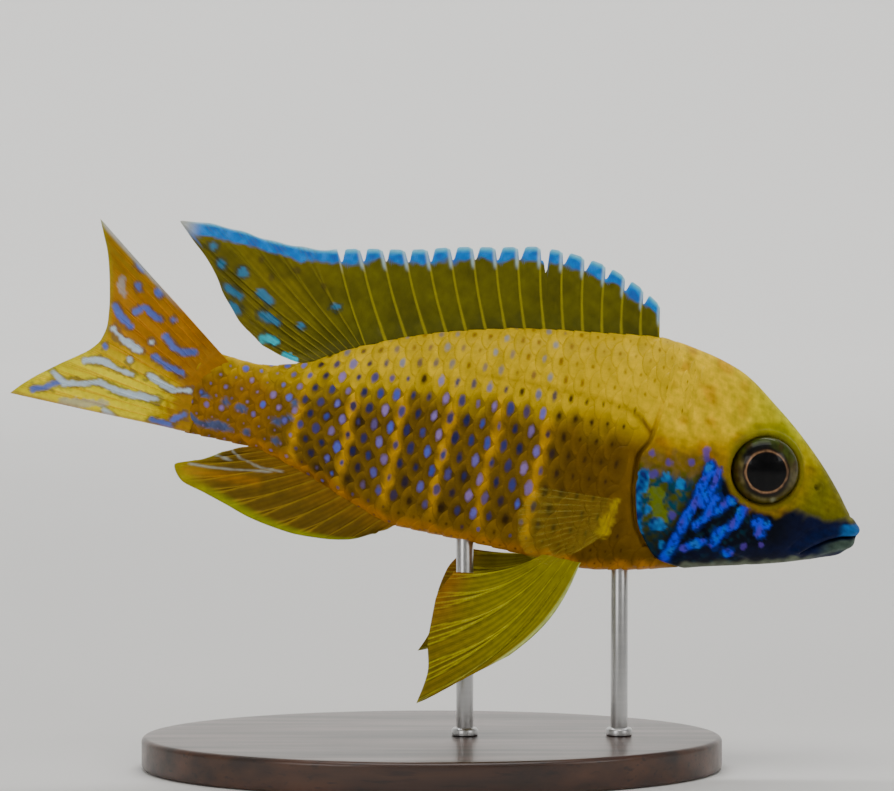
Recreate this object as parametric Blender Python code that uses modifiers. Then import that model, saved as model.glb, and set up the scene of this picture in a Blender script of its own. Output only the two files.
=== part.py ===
"""Male peacock cichlid at life size, a still museum model held by a plain display stand.

The fish is laid out along its own straight axis, in millimetres: u runs back from the snout, y to the
fish's left and w up from the axis. place() bends that axis sideways, pitches it head down and gives metres.
"""

from __future__ import annotations

import math
from collections.abc import Callable
from dataclasses import dataclass

import bmesh
import bpy
import numpy as np
from mathutils import Matrix

Array = np.ndarray
Curve = Callable[[Array], Array]
MM = 0.001

# Pose and place, with the middle of the stand's base at the origin
PITCH = math.radians(11.0)
SNOUT_X = 64.3
SNOUT_Z = 37.1
BEND_START = 52.0
BEND_RATE = 0.0016
CLEARANCE = 0.3

# Body profiles as (distance behind the snout, value)
NOSE_U = -0.3
NOSE_W = -1.3
TOP_LINE = ((NOSE_U, NOSE_W), (0.1, 0.1), (1.5, 1.5), (3.6, 4.2), (7.5, 8.5), (14.9, 14.9), (22.0, 19.6),
            (28.5, 21.4), (34.5, 22.2), (43.8, 21.2), (55.8, 19.5), (67.5, 16.6), (79.0, 12.2), (87.4, 7.9),
            (93.2, 6.5), (105.0, 7.6))
BOTTOM_LINE = ((NOSE_U, NOSE_W), (0.1, -2.7), (0.8, -3.9), (1.8, -5.0), (4.7, -6.1), (10.4, -8.0), (22.2, -10.9),
               (34.0, -13.7), (39.9, -14.5), (58.6, -13.8), (68.5, -13.6), (75.9, -11.4), (84.2, -8.4),
               (93.1, -6.2), (105.0, -6.0))
HALF_WIDTH = ((NOSE_U, 0.0), (0.1, 1.5), (1.0, 2.6), (3.0, 3.5), (8.0, 5.0), (16.0, 6.6), (24.0, 7.7), (32.0, 8.4),
              (39.0, 8.7), (47.0, 8.5), (56.0, 7.8), (66.0, 6.5), (76.0, 5.1), (86.0, 3.7), (94.0, 2.7),
              (100.0, 1.9), (105.0, 1.2))
WIDEST_LEVEL = ((NOSE_U, NOSE_W), (8.0, 0.2), (16.0, 2.4), (34.0, 3.2), (50.0, 2.8), (70.0, 1.4), (105.0, 0.6))
BACK_POWER = 1.22
BELLY_POWER = 1.05

# Division of the body, with the gill cover's rear edge as (height share, distance)
GILL_EDGE = ((-1.0, 24.5), (-0.94, 26.6), (-0.86, 29.2), (-0.69, 31.5), (-0.53, 33.1), (-0.35, 34.0),
             (-0.17, 34.6), (0.05, 34.7), (0.2, 33.4), (0.6, 32.2), (1.0, 31.0))
GILL_SLIT = 0.45
TRUNK_END = 66.5
TAIL_END = ((-1.0, 104.0), (0.0, 102.8), (1.0, 99.4))
GILL_AXIS = 32.5
AROUND = 44
HEAD_RINGS = 34
HEAD_FIRST_SHARE = 0.07
HEAD_CROWDING = 1.55
NOSE_STEP = 0.05
TRUNK_RINGS = 12
TAIL_RINGS = 13

# Head features, as points (u, w) of the side view
MOUTH_LINE = ((-0.6, -1.7), (2.3, -2.3), (4.4, -3.3), (6.5, -4.7), (7.8, -5.6))
MOUTH_OPENING = 0.7
MOUTH_CORNER_SHARE = 0.25
MOUTH_HALF_WIDTH = 7.0
MOUTH_REACH = 3.0
LIP_OFFSET = 0.95
LIP_HEIGHT = 0.5
LIP_WIDTH = 0.8
CHEEK_GROOVE = ((24.3, 6.5), (25.0, 0.5), (24.3, -4.2), (21.3, -7.6), (15.5, -8.6))
GROOVE_DEPTH = 0.35
GROOVE_WIDTH = 0.9
GILL_RIM_HEIGHT = 0.45
GILL_RIM_LENGTH = 4.5
GILL_RIM_FADE = (4.0, 12.0)
EYE_CENTRE = (15.8, 5.6)
EYE_RADIUS = 5.1
EYE_DEPTH = 2.7
EYE_SUNK = 1.75
EYE_TURN = math.radians(8.0)
EYE_SEGMENTS = 20
ORBIT_HEIGHT = 0.35
ORBIT_WIDTH = 0.8
NOSTRIL_CENTRE = (7.3, 4.6)
NOSTRIL_RADIUS = 0.5
NOSTRIL_DEPTH = 0.8
NOSTRIL_SEGMENTS = 10

# Fins, as points (u, w) of the side view, with half thicknesses
FIN_ROOT_HALF = 0.5
FIN_MEMBRANE_HALF = 0.25
FIN_TIP_HALF = 0.14
RAY_HEIGHT = 0.17
RAY_SHARE = 0.3
ROOT_TAPER_END = 1.0 / 3.0
TIP_TAPER_START = 0.75
DORSAL_SPINES = 16
DORSAL_SOFT_RAYS = 10
DORSAL_SPINE_ROOTS = (34.8, 78.2)
DORSAL_SOFT_ROOTS = (78.9, 87.2)
DORSAL_SPINE_TIPS = ((35.6, 26.8), (39.1, 28.9), (46.1, 31.4), (53.3, 32.1), (61.0, 30.8), (67.4, 29.6),
                     (74.0, 27.9), (81.0, 26.7), (85.1, 25.8))
DORSAL_SOFT_TIPS = ((85.1, 25.8), (92.2, 25.1), (103.7, 26.0), (110.4, 24.9), (105.5, 22.0), (101.3, 16.3),
                    (96.5, 11.1), (93.6, 9.3))
DORSAL_NOTCH = 0.9
DORSAL_LEAN = 1.6
DORSAL_BOW = 0.02
DORSAL_ROWS = 6
CAUDAL_RAYS = 16
CAUDAL_ROOT = ((99.9, 7.2), (103.0, 2.0), (104.5, -5.8))
CAUDAL_TIPS = ((121.7, 23.3), (119.6, 18.4), (117.9, 11.5), (117.4, 7.0), (118.9, 4.0), (122.9, 0.9),
               (127.6, -2.8), (130.0, -5.3))
CAUDAL_CUP = 4.5
CAUDAL_CUP_START = 0.375
CAUDAL_CUP_UPPER = -0.2
CAUDAL_ROWS = 7
ANAL_RAYS = 12
ANAL_ROOTS = (68.7, 92.8)
ANAL_TIPS = ((71.6, -15.4), (76.3, -17.4), (82.4, -17.9), (88.7, -17.2), (95.2, -15.3), (104.1, -11.9),
             (99.6, -9.7), (96.3, -7.8))
ANAL_BOW = -0.02
ANAL_ROWS = 5
PELVIC_ROOTS = (40.1, 46.0)
PELVIC_ROOT_SIDE = 2.3
PELVIC_TIPS = ((48.6, -29.1), (60.4, -38.3), (59.6, -33.5), (60.5, -28.3), (60.5, -23.0), (58.6, -18.3))
PELVIC_SPREAD = (7.6, 8.6, 7.6, 6.6, 5.6, 4.6)
PELVIC_BOW = -0.08
PELVIC_ROWS = 7
PECTORAL_SIDES = {"pectoral_fin_left": 1.0, "pectoral_fin_right": -1.0}
PECTORAL_RAYS = 10
PECTORAL_ROOT = ((36.6, -2.8), (37.5, -8.0))
PECTORAL_OUTWARD = math.radians(47.0)
PECTORAL_FAN = (math.radians(2.0), math.radians(-31.0))
PECTORAL_LENGTHS = ((0.0, 16.5), (0.25, 20.0), (0.5, 19.0), (0.75, 16.0), (1.0, 11.5))
PECTORAL_RIM_CLEARANCE = 0.35
PECTORAL_ROWS = 4

# Stand
BASE_LENGTH = 88.0
BASE_WIDTH = 56.0
BASE_HEIGHT = 5.0
BASE_BEVEL = 0.8
BASE_SEGMENTS = 48
BASE_BEVEL_SEGMENTS = 2
ROD_RADIUS = 1.3
ROD_SEGMENTS = 20
ROD_PLACES = {"stand_rod_front": 28.4, "stand_rod_back": 5.0}
BELLY_SPAN = (20.0, 70.0)


@dataclass(frozen=True)
class PelvicPose:
    """How one belly fin hangs: its side, its swing back, and its length and spread over the plain form."""

    side: float
    swing: float = 0.0
    length: float = 1.0
    spread: float = 1.0


PELVIC_POSES = {
    "pelvic_fin_left": PelvicPose(side=1.0, swing=math.radians(8.5), length=0.9, spread=1.35),
    "pelvic_fin_right": PelvicPose(side=-1.0),
}


def profile(stations: Array) -> Curve:
    """Smooth curve through (distance, value) stations that never swings past them."""
    where, value = np.array(stations, dtype=float).T
    slope = np.diff(value) / np.diff(where)
    same_way = slope[:-1] * slope[1:] > 0
    safe = np.where(same_way, slope[:-1] + slope[1:], 1.0)
    inner = np.where(same_way, 2.0 * slope[:-1] * slope[1:] / safe, 0.0)
    tangent = np.concatenate((slope[:1], inner, slope[-1:]))

    def at(distance: Array) -> Array:
        k = np.clip(np.searchsorted(where, distance, side="right") - 1, 0, len(where) - 2)
        span = where[k + 1] - where[k]
        t = np.clip((distance - where[k]) / span, 0.0, 1.0)
        first = (1 + 2 * t) * (1 - t) ** 2 * value[k] + t * (1 - t) ** 2 * span * tangent[k]
        second = t * t * (3 - 2 * t) * value[k + 1] + t * t * (t - 1) * span * tangent[k + 1]
        return first + second

    return at


def blunt_profile(stations: Array) -> Curve:
    """The same curve drawn over the root of the distance, so that the snout is round and not pointed."""
    curve = profile([(math.sqrt(u - NOSE_U), value) for u, value in stations])

    def at(distance: Array) -> Array:
        return curve(np.sqrt(np.maximum(distance - NOSE_U, 0.0)))

    return at


top_line = blunt_profile(TOP_LINE)
bottom_line = blunt_profile(BOTTOM_LINE)
half_width = blunt_profile(HALF_WIDTH)
widest_level = profile(WIDEST_LEVEL)
gill_edge = profile(GILL_EDGE)
tail_end = profile(TAIL_END)


def along(points: Array, count: int) -> Array:
    """Points evenly spaced along a smooth path through the given ones."""
    points = np.array(points, dtype=float)
    steps = np.linalg.norm(np.diff(points, axis=0), axis=1)
    travel = np.concatenate(([0.0], np.cumsum(steps)))
    fine = np.linspace(0.0, travel[-1], 400)
    dense = np.stack([profile(np.stack((travel, axis), 1))(fine) for axis in points.T], 1)
    length = np.concatenate(([0.0], np.cumsum(np.linalg.norm(np.diff(dense, axis=0), axis=1))))
    even = np.linspace(0.0, length[-1], count)
    return np.stack([np.interp(even, length, axis) for axis in dense.T], 1)


def place(points: Array) -> Array:
    """Bend the straight fish sideways, pitch it head down and turn it into metres in the stand's frame."""
    u, y, w = np.moveaxis(np.asarray(points, dtype=float), -1, 0)
    y = y + BEND_RATE * np.maximum(u - BEND_START, 0.0) ** 2
    x = SNOUT_X - (u * math.cos(PITCH) - w * math.sin(PITCH))
    z = SNOUT_Z + (u * math.sin(PITCH) + w * math.cos(PITCH))
    return np.stack((x, y, z), -1) * MM


def skin(u: Array, angle: Array) -> Array:
    """Points of the bare body at distance u, where angle 0 is the left flank and a quarter turn the back."""
    rise = np.sin(angle)
    side = np.cos(angle)
    middle = widest_level(u)
    reach = np.where(rise > 0, top_line(u) - middle, middle - bottom_line(u))
    power = np.where(rise > 0, BACK_POWER, BELLY_POWER)
    y = half_width(u) * np.sign(side) * np.abs(side) ** power
    return np.stack((u + 0.0 * rise, y, middle + reach * rise), -1)


def skin_side(u: Array, w: Array) -> Array:
    """Distance of the left flank from the middle plane at a point of the side view."""
    middle = widest_level(u)
    reach = np.where(w > middle, top_line(u) - middle, middle - bottom_line(u))
    rise = np.clip((w - middle) / reach, -1.0, 1.0)
    power = np.where(w > middle, BACK_POWER, BELLY_POWER)
    return half_width(u) * np.sqrt(1.0 - rise ** 2) ** power


def grid_normals(grid: Array) -> Array:
    """Unit normals of a grid of points that closes round its second direction."""
    down = np.gradient(grid, axis=0)
    round_way = np.roll(grid, -1, axis=1) - np.roll(grid, 1, axis=1)
    normal = np.cross(down, round_way)
    normal /= np.linalg.norm(normal, axis=-1, keepdims=True) + 1e-12
    outward = np.sum(normal[..., 1:] * (grid[..., 1:] - grid[..., 1:].mean(axis=1, keepdims=True)))
    return normal if outward > 0 else -normal


def path_distance(u: Array, w: Array, path: Array) -> Array:
    """Distance in the side view from each point to a smooth path."""
    line = along(path, 40)
    gap = np.hypot(u[..., None] - line[:, 0], w[..., None] - line[:, 1])
    return gap.min(axis=-1)


def bump(distance: Array, width: float) -> Array:
    """Bell of height one."""
    return np.exp(-(distance / width) ** 2)


def head_relief(grid: Array, edge: Array) -> Array:
    """Raised lips, orbit and gill cover rim, less the groove in the cheek, in millimetres."""
    u, w = grid[..., 0], grid[..., 2]
    mouth = np.array(MOUTH_LINE)
    upper = mouth + (0.0, LIP_OFFSET)
    lower = mouth - (0.0, LIP_OFFSET)
    lips = bump(path_distance(u, w, upper), LIP_WIDTH) + bump(path_distance(u, w, lower), LIP_WIDTH)
    orbit = bump(np.hypot(u - EYE_CENTRE[0], w - EYE_CENTRE[1]) - EYE_RADIUS - ORBIT_WIDTH, ORBIT_WIDTH)
    groove = bump(path_distance(u, w, CHEEK_GROOVE), GROOVE_WIDTH)
    rise = np.clip((u - edge + GILL_RIM_LENGTH) / GILL_RIM_LENGTH, 0.0, 1.0) ** 2
    fade_low, fade_high = GILL_RIM_FADE
    below_nape = np.clip((fade_high - w) / (fade_high - fade_low), 0.0, 1.0)
    rim = GILL_RIM_HEIGHT * rise * below_nape
    return LIP_HEIGHT * lips + ORBIT_HEIGHT * orbit - GROOVE_DEPTH * groove + rim


def make_material(name: str, colour: tuple[float, float, float], roughness: float,
                  metallic: float = 0.0) -> bpy.types.Material:
    """Plain finish for one kind of surface."""
    material = bpy.data.materials.new(name)
    material.use_nodes = True
    shader = material.node_tree.nodes["Principled BSDF"]
    shader.inputs["Base Color"].default_value = (*colour, 1.0)
    shader.inputs["Roughness"].default_value = roughness
    shader.inputs["Metallic"].default_value = metallic
    return material


def add_object(name: str, mesh: bpy.types.Mesh, collection: bpy.types.Collection,
               material: bpy.types.Material | None = None) -> bpy.types.Object:
    """Link a mesh as a named object, shaded smooth."""
    mesh.shade_smooth()
    piece = bpy.data.objects.new(name, mesh)
    collection.objects.link(piece)
    if material:
        mesh.materials.append(material)
    return piece


def mesh_from(name: str, points: Array, faces: list[tuple[int, ...]]) -> bpy.types.Mesh:
    """Closed mesh with its faces turned outward."""
    mesh = bpy.data.meshes.new(name)
    mesh.from_pydata(points.reshape(-1, 3).tolist(), [], faces)
    model = bmesh.new()
    model.from_mesh(mesh)
    bmesh.ops.recalc_face_normals(model, faces=model.faces)
    model.to_mesh(mesh)
    model.free()
    return mesh


def closed_loft(name: str, grid: Array, front: Array, back: Array) -> bpy.types.Mesh:
    """Skin over rings of points, closed by a fan at the front and one at the back."""
    rings, around = grid.shape[:2]
    points = np.concatenate((grid.reshape(-1, 3), [front, back]))
    faces = []
    for ring in range(rings - 1):
        for k in range(around):
            after = (k + 1) % around
            low, high = ring * around, (ring + 1) * around
            faces.append((low + k, low + after, high + after, high + k))
    for k in range(around):
        after = (k + 1) % around
        last = (rings - 1) * around
        faces.append((rings * around, after, k))
        faces.append((rings * around + 1, last + k, last + after))
    return mesh_from(name, place(points), faces)


def level_edge(u: float) -> Curve:
    """Edge of a length of the body that stands square to the axis at distance u."""

    def at(rise: Array) -> Array:
        return u + 0.0 * rise

    return at


def axis_at(u: float) -> tuple[float, float, float]:
    """Point of the middle plane at the widest level of the body."""
    return (u, 0.0, float(widest_level(u)))


def trunk_start(rise: Array) -> Array:
    """Front edge of the trunk, behind the gill slit."""
    return gill_edge(rise) + GILL_SLIT


def body_mesh(name: str, start: Curve, end: Curve, shares: Array, front: Array, back: Array,
              relief: Callable[[Array, Array], Array] | None = None) -> bpy.types.Mesh:
    """One length of the body between two edges that run round it."""
    angle = np.linspace(0.0, 2.0 * math.pi, AROUND, endpoint=False)
    first = start(np.sin(angle))
    last = end(np.sin(angle))
    u = first + (last - first) * np.array(shares)[:, None]
    grid = skin(u, np.broadcast_to(angle, u.shape))
    if relief:
        grid = grid + grid_normals(grid) * relief(grid, last)[..., None]
    return closed_loft(name, grid, front, back)


def build_body(parts: bpy.types.Collection, material: bpy.types.Material) -> dict[str, bpy.types.Object]:
    """Head, trunk and tail stalk, which meet along the gill cover's edge and a plain cut."""
    nose = (NOSE_U - NOSE_STEP, 0.0, NOSE_W)
    head_shares = np.linspace(HEAD_FIRST_SHARE, 1.0, HEAD_RINGS) ** HEAD_CROWDING
    head = body_mesh("head", level_edge(NOSE_U), gill_edge, head_shares, nose, axis_at(GILL_AXIS), head_relief)
    trunk = body_mesh("trunk", trunk_start, level_edge(TRUNK_END), np.linspace(0.0, 1.0, TRUNK_RINGS),
                      axis_at(GILL_AXIS + GILL_SLIT), axis_at(TRUNK_END))
    tail_start = TRUNK_END + CLEARANCE
    tail = body_mesh("tail", level_edge(tail_start), tail_end, np.linspace(0.0, 1.0, TAIL_RINGS),
                     axis_at(tail_start), axis_at(float(tail_end(0.0))))
    meshes = {"head": head, "trunk": trunk, "tail": tail}
    return {name: add_object(name, mesh, parts, material) for name, mesh in meshes.items()}


def ray_columns(rays: int) -> tuple[Array, Array]:
    """Column places and ray heights for a fin: a ridge on each ray between two valleys."""
    where = []
    height = []
    for ray in range(rays):
        for step, ridge in ((-RAY_SHARE, 0.0), (0.0, 1.0), (RAY_SHARE, 0.0)):
            if 0.0 <= ray + step <= rays - 1:
                where.append(ray + step)
                height.append(ridge)
    return np.array(where), np.array(height)


def between(points: Array, where: Array) -> Array:
    """Points at places counted in rays, on straight lines between those of the rays."""
    points = np.asarray(points)
    index = np.arange(len(points))
    return np.stack([np.interp(where, index, axis) for axis in points.T], 1)


def fin_mesh(name: str, roots: Array, tips: Array, rows: int, root_normal: tuple[float, float, float],
             bow: float = 0.0, notch: Curve | None = None,
             shape: Callable[[Array, Array, Array], Array] | None = None) -> bpy.types.Mesh:
    """Closed plate from root points to tip points, one pair a ray, with each ray a ridge on both faces.

    bow curves the rays back towards the root's rear end, notch shortens the membrane between tips and
    shape moves the middle surface sideways.
    """
    rays = len(roots)
    where, ridge = ray_columns(rays)
    root, tip = between(roots, where), between(tips, where)
    reach = np.ones(len(where))
    if notch is not None:
        reach = 1.0 - np.where(ridge > 0, 0.0, notch(where)) / np.linalg.norm(tip - root, axis=1)
    t = np.linspace(0.0, 1.0, rows + 1)[:, None] * reach
    middle = root + (tip - root) * t[..., None]
    chord = tip - root
    back = np.cross(chord, np.cross(chord, (1.0, 0.0, 0.0)))
    back /= np.linalg.norm(back, axis=1, keepdims=True) + 1e-9
    middle = middle - back * (bow * np.sin(math.pi * t) * np.linalg.norm(chord, axis=1))[..., None]
    if shape is not None:
        middle = shape(middle, t, where / (rays - 1))
    normal = np.cross(np.gradient(middle, axis=0), np.gradient(middle, axis=1))
    normal /= np.linalg.norm(normal, axis=-1, keepdims=True)
    root_way = np.asarray(root_normal, dtype=float)
    root_way = root_way / np.linalg.norm(root_way)
    flat_root = normal[0] - (normal[0] @ root_way)[:, None] * root_way
    normal[0] = flat_root / np.linalg.norm(flat_root, axis=1, keepdims=True)
    taper = np.linspace(0.0, 1.0, rows + 1)[:, None]
    near_root = 1.0 - np.minimum(taper / ROOT_TAPER_END, 1.0)
    near_tip = np.maximum(taper - TIP_TAPER_START, 0.0) / (1.0 - TIP_TAPER_START)
    half = FIN_MEMBRANE_HALF + (FIN_ROOT_HALF - FIN_MEMBRANE_HALF) * near_root
    half = half + (FIN_TIP_HALF - FIN_MEMBRANE_HALF) * near_tip
    half = half + RAY_HEIGHT * ridge * np.sqrt(1.0 - taper)
    offset = normal * half[..., None]
    points = np.concatenate(((middle + offset).reshape(-1, 3), (middle - offset).reshape(-1, 3)))
    return mesh_from(name, place(points), plate_faces(rows + 1, len(where)))


def plate_faces(rows: int, columns: int) -> list[tuple[int, ...]]:
    """Triangles of a thin plate, split alike on both faces, with a rim round its edge."""
    side = rows * columns
    faces = []
    for row in range(rows - 1):
        for column in range(columns - 1):
            a = row * columns + column
            b, c, d = a + 1, a + columns, a + columns + 1
            faces += [(a, b, d), (a, d, c), (a + side, d + side, b + side), (a + side, c + side, d + side)]
    top = list(range(columns))
    right = [row * columns + columns - 1 for row in range(rows)]
    bottom = [(rows - 1) * columns + column for column in reversed(range(columns))]
    left = [row * columns for row in reversed(range(rows))]
    for edge in (top, right, bottom, left):
        for a, b in zip(edge[:-1], edge[1:]):
            faces += [(a, a + side, b + side), (a, b + side, b)]
    return faces


def upright(points: Array) -> Array:
    """Points (u, w) of the middle plane as points (u, y, w)."""
    points = np.asarray(points, dtype=float)
    return np.stack((points[:, 0], np.zeros(len(points)), points[:, 1]), 1)


def ridge_roots(places: Array, line: Curve, gap: float) -> Array:
    """Root points on the body's back or belly line, one a ray."""
    return np.stack((places, np.zeros(len(places)), line(places) + gap), 1)


def dorsal_notch(where: Array) -> Array:
    """Depth of the notch between two spines, and none between the soft rays."""
    return np.where(where < DORSAL_SPINES - 1, DORSAL_NOTCH, 0.0)


def dorsal_lean(middle: Array, t: Array, share: Array) -> Array:
    """Lean of the soft part to the left, which grows towards its rear and with the square of the height."""
    soft = np.clip((share - 0.5) * 2.0, 0.0, 1.0) ** 2
    middle[..., 1] += DORSAL_LEAN * t ** 2 * soft
    return middle


def build_dorsal(parts: bpy.types.Collection, material: bpy.types.Material) -> bpy.types.Object:
    """Long fin on the back: spines with notched membrane, then soft rays drawn out to a point."""
    spine_roots = np.linspace(*DORSAL_SPINE_ROOTS, DORSAL_SPINES)
    soft_roots = np.linspace(*DORSAL_SOFT_ROOTS, DORSAL_SOFT_RAYS)
    roots = ridge_roots(np.concatenate((spine_roots, soft_roots)), top_line, CLEARANCE)
    soft_tips = along(DORSAL_SOFT_TIPS, DORSAL_SOFT_RAYS + 1)[1:]
    tips = upright(np.concatenate((along(DORSAL_SPINE_TIPS, DORSAL_SPINES), soft_tips)))
    mesh = fin_mesh("dorsal_fin", roots, tips, DORSAL_ROWS, (0.0, 0.0, 1.0), bow=DORSAL_BOW,
                    notch=dorsal_notch, shape=dorsal_lean)
    return add_object("dorsal_fin", mesh, parts, material)


def caudal_cup(middle: Array, t: Array, share: Array) -> Array:
    """Cup of the lower lobe to the right, and a slight turn of the upper lobe to the left."""
    turn = (share - CAUDAL_CUP_START) / (1.0 - CAUDAL_CUP_START)
    middle[..., 1] -= CAUDAL_CUP * t * np.clip(turn, CAUDAL_CUP_UPPER, 1.0)
    return middle


def build_caudal(parts: bpy.types.Collection, material: bpy.types.Material) -> bpy.types.Object:
    """Tail fin, spread above and below, with its lower lobe cupped to the fish's right."""
    roots = upright(along(CAUDAL_ROOT, CAUDAL_RAYS))
    roots[:, 0] += CLEARANCE
    tips = upright(along(CAUDAL_TIPS, CAUDAL_RAYS))
    mesh = fin_mesh("caudal_fin", roots, tips, CAUDAL_ROWS, (-1.0, 0.0, 0.0), shape=caudal_cup)
    return add_object("caudal_fin", mesh, parts, material)


def build_anal(parts: bpy.types.Collection, material: bpy.types.Material) -> bpy.types.Object:
    """Fin under the tail stalk, laid back along it."""
    roots = ridge_roots(np.linspace(*ANAL_ROOTS, ANAL_RAYS), bottom_line, -CLEARANCE)
    tips = upright(along(ANAL_TIPS, ANAL_RAYS))
    mesh = fin_mesh("anal_fin", roots, tips, ANAL_ROWS, (0.0, 0.0, -1.0), bow=ANAL_BOW)
    return add_object("anal_fin", mesh, parts, material)


def build_pelvic(parts: bpy.types.Collection, material: bpy.types.Material, name: str,
                 pose: PelvicPose) -> bpy.types.Object:
    """One of the paired belly fins, hanging down and back, swung and spread outward as its pose says."""
    places = np.linspace(*PELVIC_ROOTS, len(PELVIC_TIPS))
    belly = np.array([skin_height_below(u, PELVIC_ROOT_SIDE) for u in places])
    roots = np.stack((places, np.full(len(places), pose.side * PELVIC_ROOT_SIDE), belly - CLEARANCE), 1)
    tips = upright(PELVIC_TIPS)
    tips[:, 1] = pose.side * pose.spread * np.array(PELVIC_SPREAD)
    hinge = roots[0]
    u, w = pose.length * (tips[:, 0] - hinge[0]), pose.length * (tips[:, 2] - hinge[2])
    tips[:, 0] = hinge[0] + u * math.cos(pose.swing) - w * math.sin(pose.swing)
    tips[:, 2] = hinge[2] + u * math.sin(pose.swing) + w * math.cos(pose.swing)
    mesh = fin_mesh(name, roots, tips, PELVIC_ROWS, (0.0, 0.0, -1.0), bow=PELVIC_BOW)
    return add_object(name, mesh, parts, material)


def skin_height_below(u: float, side: float) -> float:
    """Height of the belly's skin at a distance to the side of the middle plane."""
    rise = math.sqrt(1.0 - (side / float(half_width(u))) ** (2.0 / BELLY_POWER))
    middle = float(widest_level(u))
    return middle - (middle - float(bottom_line(u))) * rise


def build_pectoral(parts: bpy.types.Collection, material: bpy.types.Material, name: str,
                   side: float) -> bpy.types.Object:
    """One of the paired fins behind the gill covers, held out from the flank."""
    root_line = along(PECTORAL_ROOT, PECTORAL_RAYS)
    flank = skin_side(root_line[:, 0], root_line[:, 1]) + PECTORAL_RIM_CLEARANCE
    roots = np.stack((root_line[:, 0], side * flank, root_line[:, 1]), 1)
    share = np.linspace(0.0, 1.0, PECTORAL_RAYS)
    fan = PECTORAL_FAN[0] + (PECTORAL_FAN[1] - PECTORAL_FAN[0]) * share
    length = profile(PECTORAL_LENGTHS)(share)
    out = np.stack((np.cos(fan) * math.cos(PECTORAL_OUTWARD), side * np.cos(fan) * math.sin(PECTORAL_OUTWARD),
                    np.sin(fan)), 1)
    tips = roots + out * length[:, None]
    mesh = fin_mesh(name, roots, tips, PECTORAL_ROWS, (0.0, side, 0.0))
    return add_object(name, mesh, parts, material)


def ellipsoid(name: str, collection: bpy.types.Collection, centre: tuple[float, float, float],
              radii: tuple[float, float, float], turn: float, segments: int,
              material: bpy.types.Material | None = None) -> bpy.types.Object:
    """Ball stretched along the fish's length, width and height, set at a point (u, y, w)."""
    mesh = bpy.data.meshes.new(name)
    model = bmesh.new()
    bmesh.ops.create_uvsphere(model, u_segments=segments, v_segments=segments // 2 + 2, radius=1.0)
    model.transform(Matrix.Rotation(math.pi / 2, 4, "X"))
    model.transform(Matrix.Diagonal((*[radius * MM for radius in radii], 1.0)))
    model.to_mesh(mesh)
    model.free()
    piece = add_object(name, mesh, collection, material)
    tilt = Matrix.Rotation(PITCH, 4, "Y") @ Matrix.Rotation(turn, 4, "Z")
    piece.matrix_world = Matrix.Translation(place(centre)) @ tilt
    return piece


def hide_cutter(piece: bpy.types.Object) -> None:
    """Keep a cutter out of the finished model."""
    piece.hide_render = True
    piece.display_type = "WIRE"


def mouth_cutter(cutters: bpy.types.Collection) -> bpy.types.Object:
    """Slit between the jaws: the mouth line widened at the front and closed at its corner."""
    line = along(MOUTH_LINE, 9)
    opening = MOUTH_OPENING / 2 * np.linspace(1.0, MOUTH_CORNER_SHARE, len(line))
    upper = line + np.stack((0.0 * opening, opening), 1)
    lower = line - np.stack((0.0 * opening, opening), 1)
    front = np.array([(MOUTH_LINE[0][0] - MOUTH_REACH, MOUTH_LINE[0][1])])
    outline = np.concatenate((front, upper, lower[::-1]))
    curve = bpy.data.curves.new("mouth_outline", "CURVE")
    curve.dimensions = "2D"
    curve.fill_mode = "BOTH"
    curve.extrude = MOUTH_HALF_WIDTH * MM
    spline = curve.splines.new("POLY")
    spline.points.add(len(outline) - 1)
    for point, (u, w) in zip(spline.points, outline):
        point.co = (-u * MM, w * MM, 0.0, 1.0)
    spline.use_cyclic_u = True
    guide = bpy.data.objects.new("mouth_outline", curve)
    cutters.objects.link(guide)
    guide.matrix_world = (Matrix.Translation(place((0.0, 0.0, 0.0))) @ Matrix.Rotation(PITCH, 4, "Y")
                          @ Matrix.Rotation(math.pi / 2, 4, "X"))
    bpy.context.view_layer.update()
    evaluated = guide.evaluated_get(bpy.context.evaluated_depsgraph_get())
    mesh = bpy.data.meshes.new_from_object(evaluated)
    model = bmesh.new()
    model.from_mesh(mesh)
    bmesh.ops.remove_doubles(model, verts=model.verts, dist=0.00001)
    model.to_mesh(mesh)
    model.free()
    piece = add_object("mouth_slit", mesh, cutters)
    piece.matrix_world = guide.matrix_world
    bpy.data.objects.remove(guide)
    return piece


def build_eyes(parts: bpy.types.Collection, cutters: bpy.types.Collection,
               material: bpy.types.Material) -> None:
    """Both eyes, and the sockets that the head gives them."""
    u, w = EYE_CENTRE
    depth = float(skin_side(np.array(u), np.array(w))) - EYE_SUNK
    for name, side in (("eye_left", 1.0), ("eye_right", -1.0)):
        centre = (u, side * depth, w)
        turn = -side * EYE_TURN
        ellipsoid(name, parts, centre, (EYE_RADIUS, EYE_DEPTH, EYE_RADIUS), turn, EYE_SEGMENTS, material)
        grown = (EYE_RADIUS + CLEARANCE, EYE_DEPTH + CLEARANCE, EYE_RADIUS + CLEARANCE)
        hide_cutter(ellipsoid(name + "_socket", cutters, centre, grown, turn, EYE_SEGMENTS))


def build_nostrils(cutters: bpy.types.Collection) -> None:
    """One round pit on each side of the snout."""
    u, w = NOSTRIL_CENTRE
    flank = float(skin_side(np.array(u), np.array(w)))
    for name, side in (("nostril_left", 1.0), ("nostril_right", -1.0)):
        radii = (NOSTRIL_RADIUS, NOSTRIL_DEPTH, NOSTRIL_RADIUS)
        hide_cutter(ellipsoid(name, cutters, (u, side * flank, w), radii, 0.0, NOSTRIL_SEGMENTS))


def cut_head(head: bpy.types.Object, cutters: bpy.types.Collection) -> None:
    """Take the sockets, nostrils and mouth out of the head."""
    cut = head.modifiers.new("openings", "BOOLEAN")
    cut.operation = "DIFFERENCE"
    cut.operand_type = "COLLECTION"
    cut.collection = cutters


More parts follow.
